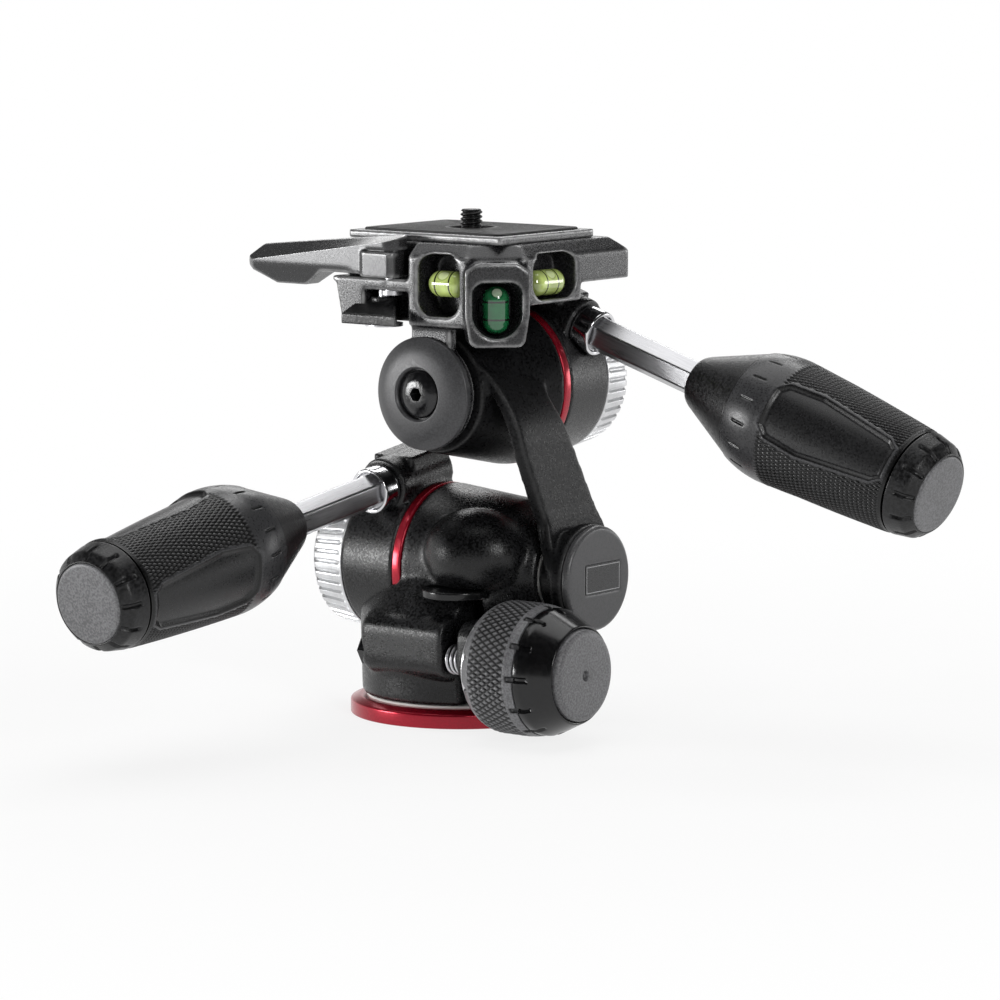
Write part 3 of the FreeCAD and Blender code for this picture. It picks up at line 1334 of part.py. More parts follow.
os.makedirs("parts", exist_ok=True)
for piece in NODES:
    if piece.Shape.isNull() or not piece.Shape.isValid() or piece.Shape.Volume <= 0:
        raise RuntimeError("%s has no sound shape" % piece.Label)
    piece.Shape.exportStep("parts/%s.step" % piece.Label)
print("%d sub-parts" % len(NODES))
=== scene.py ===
"""The looks of a three way pan tilt head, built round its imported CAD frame.

Lengths in this file are in millimetres until a mesh is made. The frame, the lamps and the
floor are in metres.
"""

import json
import logging
import math
from dataclasses import dataclass
from enum import Enum
from typing import Callable, Sequence

import bmesh
import bpy
import numpy as np
from mathutils import Matrix, Vector

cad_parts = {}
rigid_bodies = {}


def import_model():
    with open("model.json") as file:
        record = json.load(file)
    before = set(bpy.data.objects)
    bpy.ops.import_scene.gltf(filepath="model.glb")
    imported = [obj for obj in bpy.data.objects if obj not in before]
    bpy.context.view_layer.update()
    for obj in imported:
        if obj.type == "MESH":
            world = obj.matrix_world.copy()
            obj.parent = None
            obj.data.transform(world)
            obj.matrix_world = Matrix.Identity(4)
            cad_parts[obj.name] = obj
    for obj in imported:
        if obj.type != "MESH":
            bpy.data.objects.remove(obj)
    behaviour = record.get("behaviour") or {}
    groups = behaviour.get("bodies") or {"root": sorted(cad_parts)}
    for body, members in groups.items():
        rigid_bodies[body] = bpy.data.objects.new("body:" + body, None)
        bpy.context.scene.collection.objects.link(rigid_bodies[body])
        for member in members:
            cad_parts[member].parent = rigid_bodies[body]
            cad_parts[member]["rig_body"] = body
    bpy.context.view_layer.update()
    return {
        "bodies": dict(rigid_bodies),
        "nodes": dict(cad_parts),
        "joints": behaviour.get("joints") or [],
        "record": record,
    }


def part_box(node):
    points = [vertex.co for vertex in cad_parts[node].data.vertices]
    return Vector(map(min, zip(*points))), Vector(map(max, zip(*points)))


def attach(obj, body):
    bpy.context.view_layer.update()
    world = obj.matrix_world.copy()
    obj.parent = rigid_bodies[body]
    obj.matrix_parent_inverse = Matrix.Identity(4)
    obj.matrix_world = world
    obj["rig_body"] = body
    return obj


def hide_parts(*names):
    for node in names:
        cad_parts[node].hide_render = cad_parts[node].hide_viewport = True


# Metres in a millimetre, a full turn, the radius below which a point lies on its axis, and
# the gap that neighbouring pieces keep, in millimetres.
MM = 0.001
TURN = 2 * math.pi
NOTHING = 1e-6
GAP = 0.05
# The attributes that finishes read: how sharp an edge is, and how deep a relief is sunk.
EDGE = "edge"
SUNK = "sunk"
log = logging.getLogger("head")


# ------------------------------------------------------------------ shader graphs

class Socket:
    """One output in a material's node graph, with arithmetic that adds nodes."""

    def __init__(self, graph: "Graph", port: bpy.types.NodeSocket) -> None:
        """Hold one output of a graph's node."""
        self.graph = graph
        self.port = port

    def sibling(self, index: int) -> "Socket":
        """Return another output of the same node."""
        return Socket(self.graph, self.port.node.outputs[index])

    def _math(self, operation: str, *values: "Socket | float") -> "Socket":
        """Return the result of a Math node.

        Args:
            operation: The node's operation.
            values: Its inputs, in order.
        """
        return self.graph.node("ShaderNodeMath", {"operation": operation}, dict(enumerate(values)))

    def __add__(self, other: "Socket | float") -> "Socket":
        """Return the sum."""
        return self._math("ADD", self, other)

    __radd__ = __add__

    def __sub__(self, other: "Socket | float") -> "Socket":
        """Return the difference."""
        return self._math("SUBTRACT", self, other)

    def __rsub__(self, other: float) -> "Socket":
        """Return what is left of a number."""
        return self._math("SUBTRACT", other, self)

    def __mul__(self, other: "Socket | float") -> "Socket":
        """Return the product."""
        return self._math("MULTIPLY", self, other)

    __rmul__ = __mul__

    def __truediv__(self, other: "Socket | float") -> "Socket":
        """Return the ratio."""
        return self._math("DIVIDE", self, other)

    def __rtruediv__(self, other: float) -> "Socket":
        """Return a number's share."""
        return self._math("DIVIDE", other, self)

    def __neg__(self) -> "Socket":
        """Return the value with the other sign."""
        return self * -1.0

    def __abs__(self) -> "Socket":
        """Return the value without its sign."""
        return self._math("ABSOLUTE", self)

    def least(self, other: "Socket | float") -> "Socket":
        """Return the smaller of the two."""
        return self._math("MINIMUM", self, other)

    def most(self, other: "Socket | float") -> "Socket":
        """Return the larger of the two."""
        return self._math("MAXIMUM", self, other)

    def ramp(self, low: float, high: float, start: float = 0.0, end: float = 1.0) -> "Socket":
        """Return a smooth step.

        Args:
            low: Where it starts to rise.
            high: Where it is done.
            start: The value below low.
            end: The value above high.
        """
        inputs = {"Value": self, "From Min": low, "From Max": high, "To Min": start, "To Max": end}
        return self.graph.node("ShaderNodeMapRange", {"interpolation_type": "SMOOTHSTEP"}, inputs)


class Graph:
    """The node graph of a material or of the world while it is being built."""

    def __init__(self, owner: bpy.types.Material | bpy.types.World) -> None:
        """Empty the owner's graph.

        Args:
            owner: The material or world.
        """
        owner.use_nodes = True
        self.owner = owner
        self.tree = owner.node_tree
        self.tree.nodes.clear()

    def node(self, kind: str, settings: dict | None = None, inputs: dict | None = None,
             output: int | str = 0) -> Socket:
        """Add a node, set its settings and then its inputs.

        Args:
            kind: The node's type.
            settings: Its own properties.
            inputs: Values or sockets by input name or index.
            output: The output to return.

        Returns:
            The chosen output.
        """
        made = self.tree.nodes.new(kind)
        for name, value in (settings or {}).items():
            setattr(made, name, value)
        for key, value in (inputs or {}).items():
            if isinstance(value, Socket):
                self.tree.links.new(value.port, made.inputs[key])
            else:
                made.inputs[key].default_value = value
        return Socket(self, made.outputs[output] if made.outputs else None)

    def spot(self) -> Socket:
        """Return the object coordinates."""
        return self.node("ShaderNodeTexCoord", output="Object")

    def vector(self, operation: str, a: Socket | Sequence, b: Socket | Sequence | None = None,
               output: int | str = 0, scale: float | None = None) -> Socket:
        """Return the result of a Vector Math node.

        Args:
            operation: The node's operation.
            a: The first vector.
            b: The second vector, if the operation takes one.
            output: The output to return.
            scale: The factor of a scaling.

        Returns:
            The chosen output.
        """
        inputs = {0: a}
        if b is not None:
            inputs[1] = b
        if scale is not None:
            inputs["Scale"] = scale
        return self.node("ShaderNodeVectorMath", {"operation": operation}, inputs, output)

    def noise(self, where: Socket, size: float, detail: float = 2.0,
              roughness: float = 0.5) -> Socket:
        """Return noise from 0 to 1.

        Args:
            where: The coordinates.
            size: Size of its cells in millimetres.
            detail: How many finer layers it has.
            roughness: How strong they are.

        Returns:
            The noise.
        """
        return self.node("ShaderNodeTexNoise", {}, {
            "Vector": where, "Scale": 1.0 / (size * MM), "Detail": detail,
            "Roughness": roughness})

    def mix(self, share: Socket | float, first: Sequence | Socket,
            second: Sequence | Socket) -> Socket:
        """Return a colour between two.

        Args:
            share: How much of the second colour there is.
            first: The colour at 0.
            second: The colour at 1.
        """
        return self.node("ShaderNodeMix", {"data_type": "RGBA"}, {
            0: share, 6: rgba(first), 7: rgba(second)}, 2)

    def finish(self, shader: Socket) -> bpy.types.Material:
        """Connect the shader to the output and return the material."""
        self.node("ShaderNodeOutputMaterial", {}, {"Surface": shader})
        return self.owner

    def seen(self) -> Socket:
        """Return 1 for camera, glossy and transmission rays and 0 for others.

        Returns:
            The share, as a socket.
        """
        rays = [self.node("ShaderNodeLightPath", output=f"Is {kind} Ray")
                for kind in ("Camera", "Glossy", "Transmission")]
        return rays[0].most(rays[1]).most(rays[2])


def rgba(colour: Sequence | Socket) -> Sequence | Socket:
    """Return a colour with its alpha, or a socket as it is."""
    return colour if isinstance(colour, Socket) else (*colour, 1.0)


def scaled(colour: Sequence[float], share: float) -> tuple[float, ...]:
    """Return a colour made lighter or darker, within 0 to 1."""
    return tuple(min(channel * share, 1.0) for channel in colour)


# ------------------------------------------------------------------ finishes

@dataclass(frozen=True)
class Finish:
    """A coated or moulded surface with fine grain, mottling, and edges lightened for wear and as
    painted highlight.

    Attributes:
        name: The material's name.
        colour: Base colour, linear.
        rough: Mean roughness.
        metal: Metallic share.
        grain: Size of the grain.
        relief: Height of the grain.
        mottle: Share by which the colour varies.
        spread: By how much the roughness varies.
        edge: How much lighter an edge is, for wear and as painted highlight, 0 for none.
        edge_width: Width of a lightened edge.
        specular: Specular level.
        coat: Clear coat weight.
        coat_rough: Roughness of the clear coat.
        clouds: Size of the broad clouds of colour.
        patch: Size of the patches in which an edge is lightened.
    """

    name: str
    colour: tuple[float, float, float]
    rough: float
    metal: float = 0.0
    grain: float = 0.45
    relief: float = 0.02
    mottle: float = 0.2
    spread: float = 0.1
    edge: float = 0.0
    edge_width: float = 0.4
    specular: float = 0.5
    coat: float = 0.0
    coat_rough: float = 0.08
    clouds: float = 14.0
    patch: float = 2.2

    def height(self, graph: Graph, spot: Socket) -> Socket:
        """Return the surface's height in shares of the relief.

        Args:
            graph: The material's graph.
            spot: The object coordinates.

        Returns:
            The height, as a socket.
        """
        coarse = graph.noise(spot, self.grain, 2.0, 0.6)
        fine = graph.noise(spot, self.grain / 3, 1.0)
        return coarse * 0.7 + fine * 0.3

    def tint(self, graph: Graph, spot: Socket) -> Socket:
        """Return how the colour varies over the surface, from 0 to 1.

        Args:
            graph: The material's graph.
            spot: The object coordinates.

        Returns:
            The share, as a socket.
        """
        broad = graph.noise(spot, self.clouds, 3.0)
        fine = graph.noise(spot, self.grain * 1.4, 1.0)
        return (broad * 0.2 + fine * 0.8).ramp(0.34, 0.66)

    def colours(self, graph: Graph, spot: Socket, tint: Socket) -> Socket:
        """Return the base colour over the surface.

        Args:
            graph: The material's graph.
            spot: The object coordinates; not used here.
            tint: What tint() returned.
        """
        return graph.mix(tint, scaled(self.colour, 1 - self.mottle),
                         scaled(self.colour, 1 + self.mottle))

    def wear_and_highlight(self, graph: Graph, spot: Socket) -> Socket:
        """Return 1 along edges that are lightened for wear and as painted highlight, and 0
        elsewhere.

        Args:
            graph: The material's graph.
            spot: The object coordinates.

        Returns:
            The share, as a socket.
        """
        rounded = graph.node("ShaderNodeBevel", {"samples": 4}, {"Radius": self.edge_width * MM})
        normal = graph.node("ShaderNodeNewGeometry", output="Normal")
        bend = graph.vector("DOT_PRODUCT", rounded, normal, "Value").ramp(0.86, 0.99, 1.0, 0.0)
        cast = graph.node("ShaderNodeAttribute", {"attribute_name": EDGE}, output="Fac")
        patchy = graph.noise(spot, self.patch, 3.0).ramp(0.25, 0.55, 0.35, 1.0)
        return bend.most(cast) * patchy

    def shader(self, graph: Graph, inputs: dict) -> Socket:
        """Return the surface shader with what is the same all over set on it.

        Args:
            graph: The material's graph.
            inputs: Values or sockets by input name.

        Returns:
            The shader.
        """
        settled = {"Metallic": self.metal, "Specular IOR Level": self.specular,
                   "Coat Weight": self.coat, "Coat Roughness": self.coat_rough}
        return graph.node("ShaderNodeBsdfPrincipled", {}, {**settled, **inputs})

    def material(self) -> bpy.types.Material:
        """Return the material, building it the first time it is asked for.

        Returns:
            The material.
        """
        known = bpy.data.materials.get(self.name)
        if known:
            return known
        graph = Graph(bpy.data.materials.new(self.name))
        spot = graph.spot()
        tint = self.tint(graph, spot)
        colour = self.colours(graph, spot, tint)
        rough = tint * self.spread + (self.rough - self.spread / 2)
        # Edges get a lighter colour: wear, and a painted highlight along the rims.
        if self.edge:
            wear_and_highlight = self.wear_and_highlight(graph, spot)
            light = tuple(channel + self.edge for channel in self.colour)
            colour = graph.mix(wear_and_highlight, colour, light)
            rough = rough - wear_and_highlight * (self.rough * 0.3)
        bump = graph.node("ShaderNodeBump", {}, {
            "Strength": 1.0, "Distance": self.relief * MM, "Height": self.height(graph, spot)})
        return graph.finish(self.shader(graph, {
            "Base Color": colour, "Roughness": rough, "Normal": bump}))


@dataclass(frozen=True)
class Knurled(Finish):
    """A soft moulding with painted highlights on its points and painted shade in its grooves.

    Attributes:
        deep: Depth at which a groove's painted shade is full.
        tip: How much lighter the points are than the mean colour, as painted highlight.
        ground: Depths at which the grooves' painted shade gives way to plain sunk ground.
        shade: How light a groove's painted shade is against the mean colour.
    """

    deep: float = 0.26
    tip: float = 3.0
    ground: tuple[float, float] = (0.5, 0.7)
    shade: float = 0.12

    def colours(self, graph: Graph, spot: Socket, tint: Socket) -> Socket:
        """Return painted highlights on the points, the plain colour between them and painted shade
        in the grooves.

        Args:
            graph: The material's graph.
            spot: The object coordinates.
            tint: What tint() returned.

        Returns:
            The colour, as a socket.
        """
        base = super().colours(graph, spot, tint)
        sunk = graph.node("ShaderNodeAttribute", {"attribute_name": SUNK}, output="Fac")
        # Painted highlight on the raised points.
        painted_highlight = graph.mix(tint, scaled(self.colour, self.tip * 0.7),
                           scaled(self.colour, self.tip * 1.3))
        raised = graph.mix(sunk.ramp(0.03, 0.09, 0.55, 0.0), base, painted_highlight)
        # Painted shade in the grooves, fading out on deeper sunk ground.
        dark = sunk.ramp(0.1, self.deep) * sunk.ramp(*self.ground, 1.0, 0.0)
        return graph.mix(dark, raised, scaled(self.colour, self.shade))


@dataclass(frozen=True)
class Streaked(Finish):
    """A ground or drawn metal surface with fine streaks along one direction.

    Attributes:
        along: The streaks' direction.
        stretch: How much longer than wide they are.
    """

    clouds: float = 12.0
    along: tuple[float, float, float] = (1.0, 0.0, 0.0)
    stretch: float = 24.0

    def squeezed(self, graph: Graph, spot: Socket) -> Socket:
        """Return the coordinates shortened along the streaks.

        Args:
            graph: The material's graph.
            spot: The object coordinates.

        Returns:
            The coordinates, as a socket.
        """
        length = graph.vector("DOT_PRODUCT", spot, self.along, "Value")
        share = length * (1 / self.stretch - 1)
        shift = graph.node("ShaderNodeCombineXYZ", {}, {
            index: share * part for index, part in enumerate(self.along)})
        return graph.vector("ADD", spot, shift)

    def height(self, graph: Graph, spot: Socket) -> Socket:
        """Return fine streaks."""
        return graph.noise(self.squeezed(graph, spot), self.grain, 3.0, 0.6)

    def tint(self, graph: Graph, spot: Socket) -> Socket:
        """Return streaks over broad clouds.

        Args:
            graph: The material's graph.
            spot: The object coordinates.

        Returns:
            The share, as a socket.
        """
        streaks = graph.noise(self.squeezed(graph, spot), self.grain * 2, 2.0)
        broad = graph.noise(spot, self.clouds, 2.0)
        return (streaks * 0.6 + broad * 0.4).ramp(0.3, 0.7)


@dataclass(frozen=True)
class Lathed(Finish):
    """A turned metal surface with fine rings about an axis.

    Attributes:
        centre: A point on the axis.
        along: The axis.
    """

    clouds: float = 9.0
    centre: tuple[float, float, float] = (0.0, 0.0, 0.0)
    along: tuple[float, float, float] = (0.0, 0.0, 1.0)

    def rings(self, graph: Graph, spot: Socket) -> Socket:
        """Return coordinates that change only along the axis and with the radius.

        Args:
            graph: The material's graph.
            spot: The object coordinates.

        Returns:
            The coordinates, as a socket.
        """
        middle = tuple(value * MM for value in self.centre)
        offset = graph.vector("SUBTRACT", spot, middle)
        length = graph.vector("DOT_PRODUCT", offset, self.along, "Value")
        flat = graph.vector("CROSS_PRODUCT", offset, self.along)
        radius = graph.vector("LENGTH", flat, output="Value")
        return graph.node("ShaderNodeCombineXYZ", {}, {0: length, 1: radius})

    def height(self, graph: Graph, spot: Socket) -> Socket:
        """Return fine rings."""
        return graph.noise(self.rings(graph, spot), self.grain, 2.0, 0.7)

    def tint(self, graph: Graph, spot: Socket) -> Socket:
        """Return rings over broad clouds.

        Args:
            graph: The material's graph.
            spot: The object coordinates.

        Returns:
            The share, as a socket.
        """
        rings = graph.noise(self.rings(graph, spot), self.grain * 2, 2.0)
        broad = graph.noise(spot, self.clouds, 3.0)
        return (rings * 0.5 + broad * 0.5).ramp(0.3, 0.7)


@dataclass(frozen=True)
class Level(Finish):
    """A spirit level's tinted liquid with its two lines and its bubble.

    Attributes:
        centre: The vial's middle.
        along: The vial's direction.
        half_gap: From the middle to a line.
        stroke: Distances from a line's middle between which it fades.
        ends: Distances from the middle at which the liquid starts to darken and is darkest.
        bubble: Half lengths of the bubble along and across the vial.
        bubble_at: The bubble's middle, from the vial's.
        line: Colour of the lines.
        light: Colour of the bubble.
    """

    centre: tuple[float, float, float] = (0.0, 0.0, 0.0)
    along: tuple[float, float, float] = (1.0, 0.0, 0.0)
    half_gap: float = 2.4
    stroke: tuple[float, float] = (0.18, 0.32)
    ends: tuple[float, float] = (4.4, 6.6)
    bubble: tuple[float, float] = (1.9, 1.2)
    bubble_at: tuple[float, float, float] = (0.0, 0.0, 3.4)
    line: tuple[float, float, float] = (0.01, 0.012, 0.008)
    light: tuple[float, float, float] = (0.93, 0.97, 0.78)

    def colours(self, graph: Graph, spot: Socket, tint: Socket) -> Socket:
        """Return the liquid, darker at its ends, with the lines and the bubble on it.

        Args:
            graph: The material's graph.
            spot: The object coordinates.
            tint: What tint() returned.

        Returns:
            The colour, as a socket.
        """
        middle = tuple(value * MM for value in self.centre)
        offset = graph.vector("SCALE", graph.vector("SUBTRACT", spot, middle), scale=1 / MM)
        length = graph.vector("DOT_PRODUCT", offset, self.along, "Value")
        base = graph.mix(tint, scaled(self.colour, 0.8), scaled(self.colour, 1.25))
        lines = abs(abs(length) - self.half_gap).ramp(*self.stroke, 1.0, 0.0)
        ends = abs(length).ramp(*self.ends)
        shaded = graph.mix(ends, base, scaled(self.colour, 0.45))
        lined = graph.mix(lines, shaded, self.line)
        away = graph.vector("SUBTRACT", offset, self.bubble_at)
        run = graph.vector("DOT_PRODUCT", away, self.along, "Value")
        across = graph.vector("LENGTH", graph.vector("CROSS_PRODUCT", away, self.along),
                              output="Value")
        long, wide = self.bubble
        reach = run * run / (long * long) + across * across / (wide * wide)
        rim = reach.ramp(0.7, 1.0) * reach.ramp(1.0, 1.35, 1.0, 0.0)
        inside = reach.ramp(0.75, 0.95, 1.0, 0.0)
        bubbled = graph.mix(inside * 0.35, lined, self.light)
        return graph.mix(rim * 0.55, bubbled, scaled(self.colour, 0.18))


@dataclass(frozen=True)
class Label(Finish):
    """A bare label film with a thin pale line just inside its edge.

    Attributes:
        centre: The label's middle in Y and Z.
        half: Its half lengths in Y and Z.
        inset: From the edge to the line.
        stroke: Distances from the line's middle between which it fades.
        ink: Colour of the line.
    """

    centre: tuple[float, float] = (0.0, 0.0)
    half: tuple[float, float] = (8.0, 4.0)
    inset: float = 0.55
    stroke: tuple[float, float] = (0.05, 0.13)
    ink: tuple[float, float, float] = (0.42, 0.42, 0.43)

    def colours(self, graph: Graph, spot: Socket, tint: Socket) -> Socket:
        """Return the film with the line on it.

        Args:
            graph: The material's graph.
            spot: The object coordinates.
            tint: What tint() returned.

        Returns:
            The colour, as a socket.
        """
        parts = graph.node("ShaderNodeSeparateXYZ", {}, {0: spot})
        depths = [self.half[k] - self.inset
                  - abs(parts.sibling(k + 1) / MM - self.centre[k]) for k in (0, 1)]
        line = abs(depths[0].least(depths[1])).ramp(*self.stroke, 1.0, 0.0)
        return graph.mix(line, super().colours(graph, spot, tint), self.ink)


class Slot(Enum):
    """The record's material slots."""

    RED = "red_anodised"
    CAST = "black_casting"
    GUNMETAL = "gunmetal_casting"
    MACHINED = "machined_aluminium"
    LEVER = "lever_aluminium"
    DARK_STEEL = "dark_steel"
    STEEL = "bright_steel"
    CHROME = "chrome"
    BRASS = "brass"
    BEARING = "bearing_plastic"
    PLASTIC = "black_plastic"
    RUBBER = "black_rubber"
    LABEL = "label_black"
    YELLOW = "level_yellow"
    GREEN = "level_green"


CAST = Finish("cast_coat", (0.0075, 0.0076, 0.0082), 0.31, grain=0.5, relief=0.085,
              mottle=0.7, edge=0.01, edge_width=0.35, spread=0.16, specular=0.36)
GUNMETAL = Finish("gunmetal", (0.02, 0.02, 0.0215), 0.27, 0.25, grain=0.44, relief=0.05,
                  mottle=0.4, edge=0.25, edge_width=0.5, spread=0.12, specular=0.6)
ARM = Finish("arm_coat", (0.006, 0.0061, 0.0066), 0.34, grain=0.5, relief=0.06, mottle=0.6,
             edge=0.03, edge_width=0.5, spread=0.14, specular=0.16)
LEVER = Finish("lever_satin", (0.033, 0.0332, 0.0345), 0.24, 0.4, grain=0.3, relief=0.006,
               mottle=0.1, edge=0.2, edge_width=0.3, specular=0.7)
RED = Finish("red_anodise", (0.36, 0.004, 0.02), 0.24, 0.6, grain=0.35, relief=0.004,
             mottle=0.07, edge=0.05, spread=0.05, coat=0.25)
PLASTIC = Finish("grained_plastic", (0.009, 0.009, 0.0096), 0.36, grain=0.6, relief=0.11,
                 mottle=0.6, edge=0.012, specular=0.36, spread=0.16)
# Painted highlight: the caps' black plastic is made mid grey to stand in for the light on them.
LIT_CAP = Finish("grained_cap", (0.13, 0.13, 0.135), 0.42, grain=0.42, relief=0.06, mottle=0.35,
             edge=0.02, specular=0.55)
GLOSS_PLASTIC = Finish("gloss_plastic", (0.005, 0.005, 0.0055), 0.2, grain=0.8, relief=0.006,
                       mottle=0.2, spread=0.08, specular=0.45)
RUBBER = Knurled("soft_rubber", (0.0125, 0.0125, 0.0132), 0.33, grain=0.35, relief=0.02,
                 mottle=0.3, spread=0.12, specular=0.4, deep=0.24, tip=5.0)
SCALES = Knurled("scaled_rubber", (0.075, 0.075, 0.078), 0.38, grain=0.35, relief=0.02,
                 mottle=0.3, spread=0.12, specular=0.4, deep=0.34, tip=3.0)
PAD = Finish("pad_rubber", (0.011, 0.011, 0.0115), 0.5, grain=0.3, relief=0.03, mottle=0.4,
             specular=0.3)
DARK_STEEL = Finish("blackened_steel", (0.02, 0.02, 0.021), 0.3, 0.6, grain=0.25, relief=0.008,
                    mottle=0.3, edge=0.1, edge_width=0.2)
BLACK_STEEL = Finish("black_oxide", (0.008, 0.008, 0.009), 0.16, grain=0.7, relief=0.05,
                     mottle=0.4, edge=0.16, edge_width=0.22, spread=0.14)
CAP_SATIN = Finish("satin_cap", (0.05, 0.05, 0.0525), 0.4, 0.1, grain=0.34, relief=0.03,
                   mottle=0.2, edge=0.05, edge_width=0.3)
STEEL = Finish("bright_steel", (0.36, 0.36, 0.37), 0.28, 1.0, grain=0.3, relief=0.006)
BRASS = Finish("brass", (0.56, 0.38, 0.13), 0.3, 1.0, grain=0.4, relief=0.008)
BEARING = Finish("bearing_plastic", (0.02, 0.02, 0.021), 0.4, grain=0.5, relief=0.01)
SHAFT = Finish("turned_shaft", (0.6, 0.6, 0.61), 0.3, 1.0, grain=0.25, relief=0.006)


# ------------------------------------------------------------------ meshes

@dataclass(frozen=True)
class Axis:
    """A turning axis.

    Attributes:
        origin: The point on it that distances start from, in millimetres.
        along: Its direction.
        up: The direction of angle 0, across it.
    """

    origin: np.ndarray
    along: np.ndarray
    up: np.ndarray

    @classmethod
    def through(cls, origin: Sequence[float], along: Sequence[float]) -> "Axis":
        """Return the axis through a point, with up as near to +Z as it can be.

        Args:
            origin: A point on the axis, in millimetres.
            along: Its direction.

        Returns:
            The axis.
        """
        forward = np.array(along, float)
        forward /= np.linalg.norm(forward)
        upward = np.array((0.0, 0.0, 1.0)) if abs(forward[2]) < 0.9 else np.array((1.0, 0, 0))
        upward = upward - forward * (upward @ forward)
        return cls(np.array(origin, float), forward, upward / np.linalg.norm(upward))

    @property
    def side(self) -> np.ndarray:
        """The third direction."""
        return np.cross(self.along, self.up)

    def place(self, x: np.ndarray, radius: np.ndarray, angle: np.ndarray) -> np.ndarray:
        """Return points in millimetres from cylinder coordinates about the axis.

        Args:
            x: Distance along it.
            radius: Distance from it.
            angle: Angle about it, from up.

        Returns:
            The points, three numbers for each.
        """
        return (self.origin + x[..., None] * self.along
                + (radius * np.cos(angle))[..., None] * self.up
                + (radius * np.sin(angle))[..., None] * self.side)

    def lathed(self, name: str, colour: tuple[float, float, float], rough: float, metal: float,
               **more: float) -> Lathed:
        """Return a turned metal finish whose rings run about this axis.

        Args:
            name: The material's name.
            colour: Base colour, linear.
            rough: Mean roughness.
            metal: Metallic share.
            more: Other values of the finish.
        """
        return Lathed(name, colour, rough, metal, centre=plain(self.origin),
                      along=plain(self.along), **more)


def plain(vector: np.ndarray) -> tuple[float, ...]:
    """Return a vector as plain numbers."""
    return tuple(float(value) for value in vector)


def smoothstep(low: float, high: float, value: np.ndarray) -> np.ndarray:
    """Return 0 below low, 1 above high and a smooth rise between."""
    share = np.clip((value - low) / (high - low), 0.0, 1.0)
    return share * share * (3 - 2 * share)


Stretch = tuple[tuple[float, float], tuple[float, float]]


def between(x: np.ndarray, stretch: Stretch) -> np.ndarray:
    """Return 1 along a stretch and 0 outside it.

    Args:
        x: Distance along the axis.
        stretch: Where the rise starts and ends, and where the fall starts and ends.
    """
    rise, fall = stretch
    return smoothstep(*rise, x) * (1 - smoothstep(*fall, x))


def wrapped(angle: np.ndarray, count: int) -> np.ndarray:
    """Return the angle from the nearest of evenly spaced directions.

    Args:
        angle: The angle from the first direction.
        count: How many directions there are.
    """
    step = TURN / count
    return (angle + step / 2) % step - step / 2


def rounded(corners: Sequence[tuple], steps: int = 4) -> np.ndarray:
    """Return a polyline through corners, each turned into an arc.

    Each corner (x, r, fillet) is replaced by an arc that touches both its edges at the
    fillet's distance from the corner, drawn as a quadratic curve.

    Args:
        corners: The corners in order. The outline is closed.
        steps: Steps along each arc.

    Returns:
        Rows of x and radius.
    """
    rows = []
    count = len(corners)
    for index, corner in enumerate(corners):
        spot = np.array(corner[:2], float)
        fillet = corner[2] if len(corner) > 2 else 0.0
        if fillet <= 0:
            rows.append(spot[None])
            continue
        ends = []
        for other in (corners[index - 1], corners[(index + 1) % count]):
            edge = np.array(other[:2], float) - spot
            length = np.linalg.norm(edge)
            ends.append(spot + edge / length * min(fillet, length * 0.45))
        t = np.linspace(0, 1, steps + 1)[:, None]
        rows.append((1 - t) ** 2 * ends[0] + 2 * t * (1 - t) * spot + t ** 2 * ends[1])
    return np.concatenate(rows)


def refined(line: np.ndarray, spacing: float) -> np.ndarray:
    """Return a closed polyline with its long edges divided evenly.

    Args:
        line: Its points.
        spacing: The longest step.

    Returns:
        Its points and the new ones between them.
    """
    rows = []
    for start, end in zip(line, np.roll(line, -1, axis=0)):
        parts = max(int(math.ceil(np.linalg.norm(end - start) / spacing)), 1)
        t = np.arange(parts)[:, None] / parts
        rows.append(start + (end - start) * t)
    return np.concatenate(rows)


def mesh_object(name: str, points: np.ndarray, faces: list[np.ndarray], body: str,
                finish: Finish, replaces: Sequence[str] = (),
                sharp: float = 40.0) -> bpy.types.Object:
    """Make a piece from points in millimetres and arrays of quads and triangles.

    The faces are turned outwards by the sign of the enclosed volume.

    Args:
        name: The piece's name.
        points: Its vertices.
        faces: Arrays of vertex numbers, one row for each face.
        body: The CAD body that it rides on.
        finish: Its finish.
        replaces: CAD nodes that it stands for.
        sharp: Edges that bend more than this many degrees stay sharp.

    Returns:
        The piece.
    """
    volume = 0.0
    for group in faces:
        a = points[group[:, 0]]
        for k in range(1, group.shape[1] - 1):
            b, c = points[group[:, k]], points[group[:, k + 1]]
            volume += np.einsum("ij,ij->", a, np.cross(b, c))
    if volume < 0:
        faces = [group[:, ::-1] for group in faces]
    mesh = bpy.data.meshes.new(name)
    mesh.vertices.add(len(points))
    mesh.vertices.foreach_set("co", (points * MM).astype(np.float32).ravel())
    corners = np.concatenate([group.ravel() for group in faces])
    sizes = np.concatenate([np.full(len(group), group.shape[1]) for group in faces])
    mesh.loops.add(len(corners))
    mesh.loops.foreach_set("vertex_index", corners.astype(np.int32))
    mesh.polygons.add(len(sizes))
    starts = np.cumsum(sizes) - sizes
    mesh.polygons.foreach_set("loop_start", starts.astype(np.int32))
    mesh.polygons.foreach_set("loop_total", sizes.astype(np.int32))
    mesh.polygons.foreach_set("use_smooth", np.ones(len(sizes), bool))
    mesh.update(calc_edges=True)
    mesh.set_sharp_from_angle(angle=math.radians(sharp))
    made = bpy.data.objects.new(name, mesh)
    bpy.context.scene.collection.objects.link(made)
    return settle(made, body, finish, replaces)


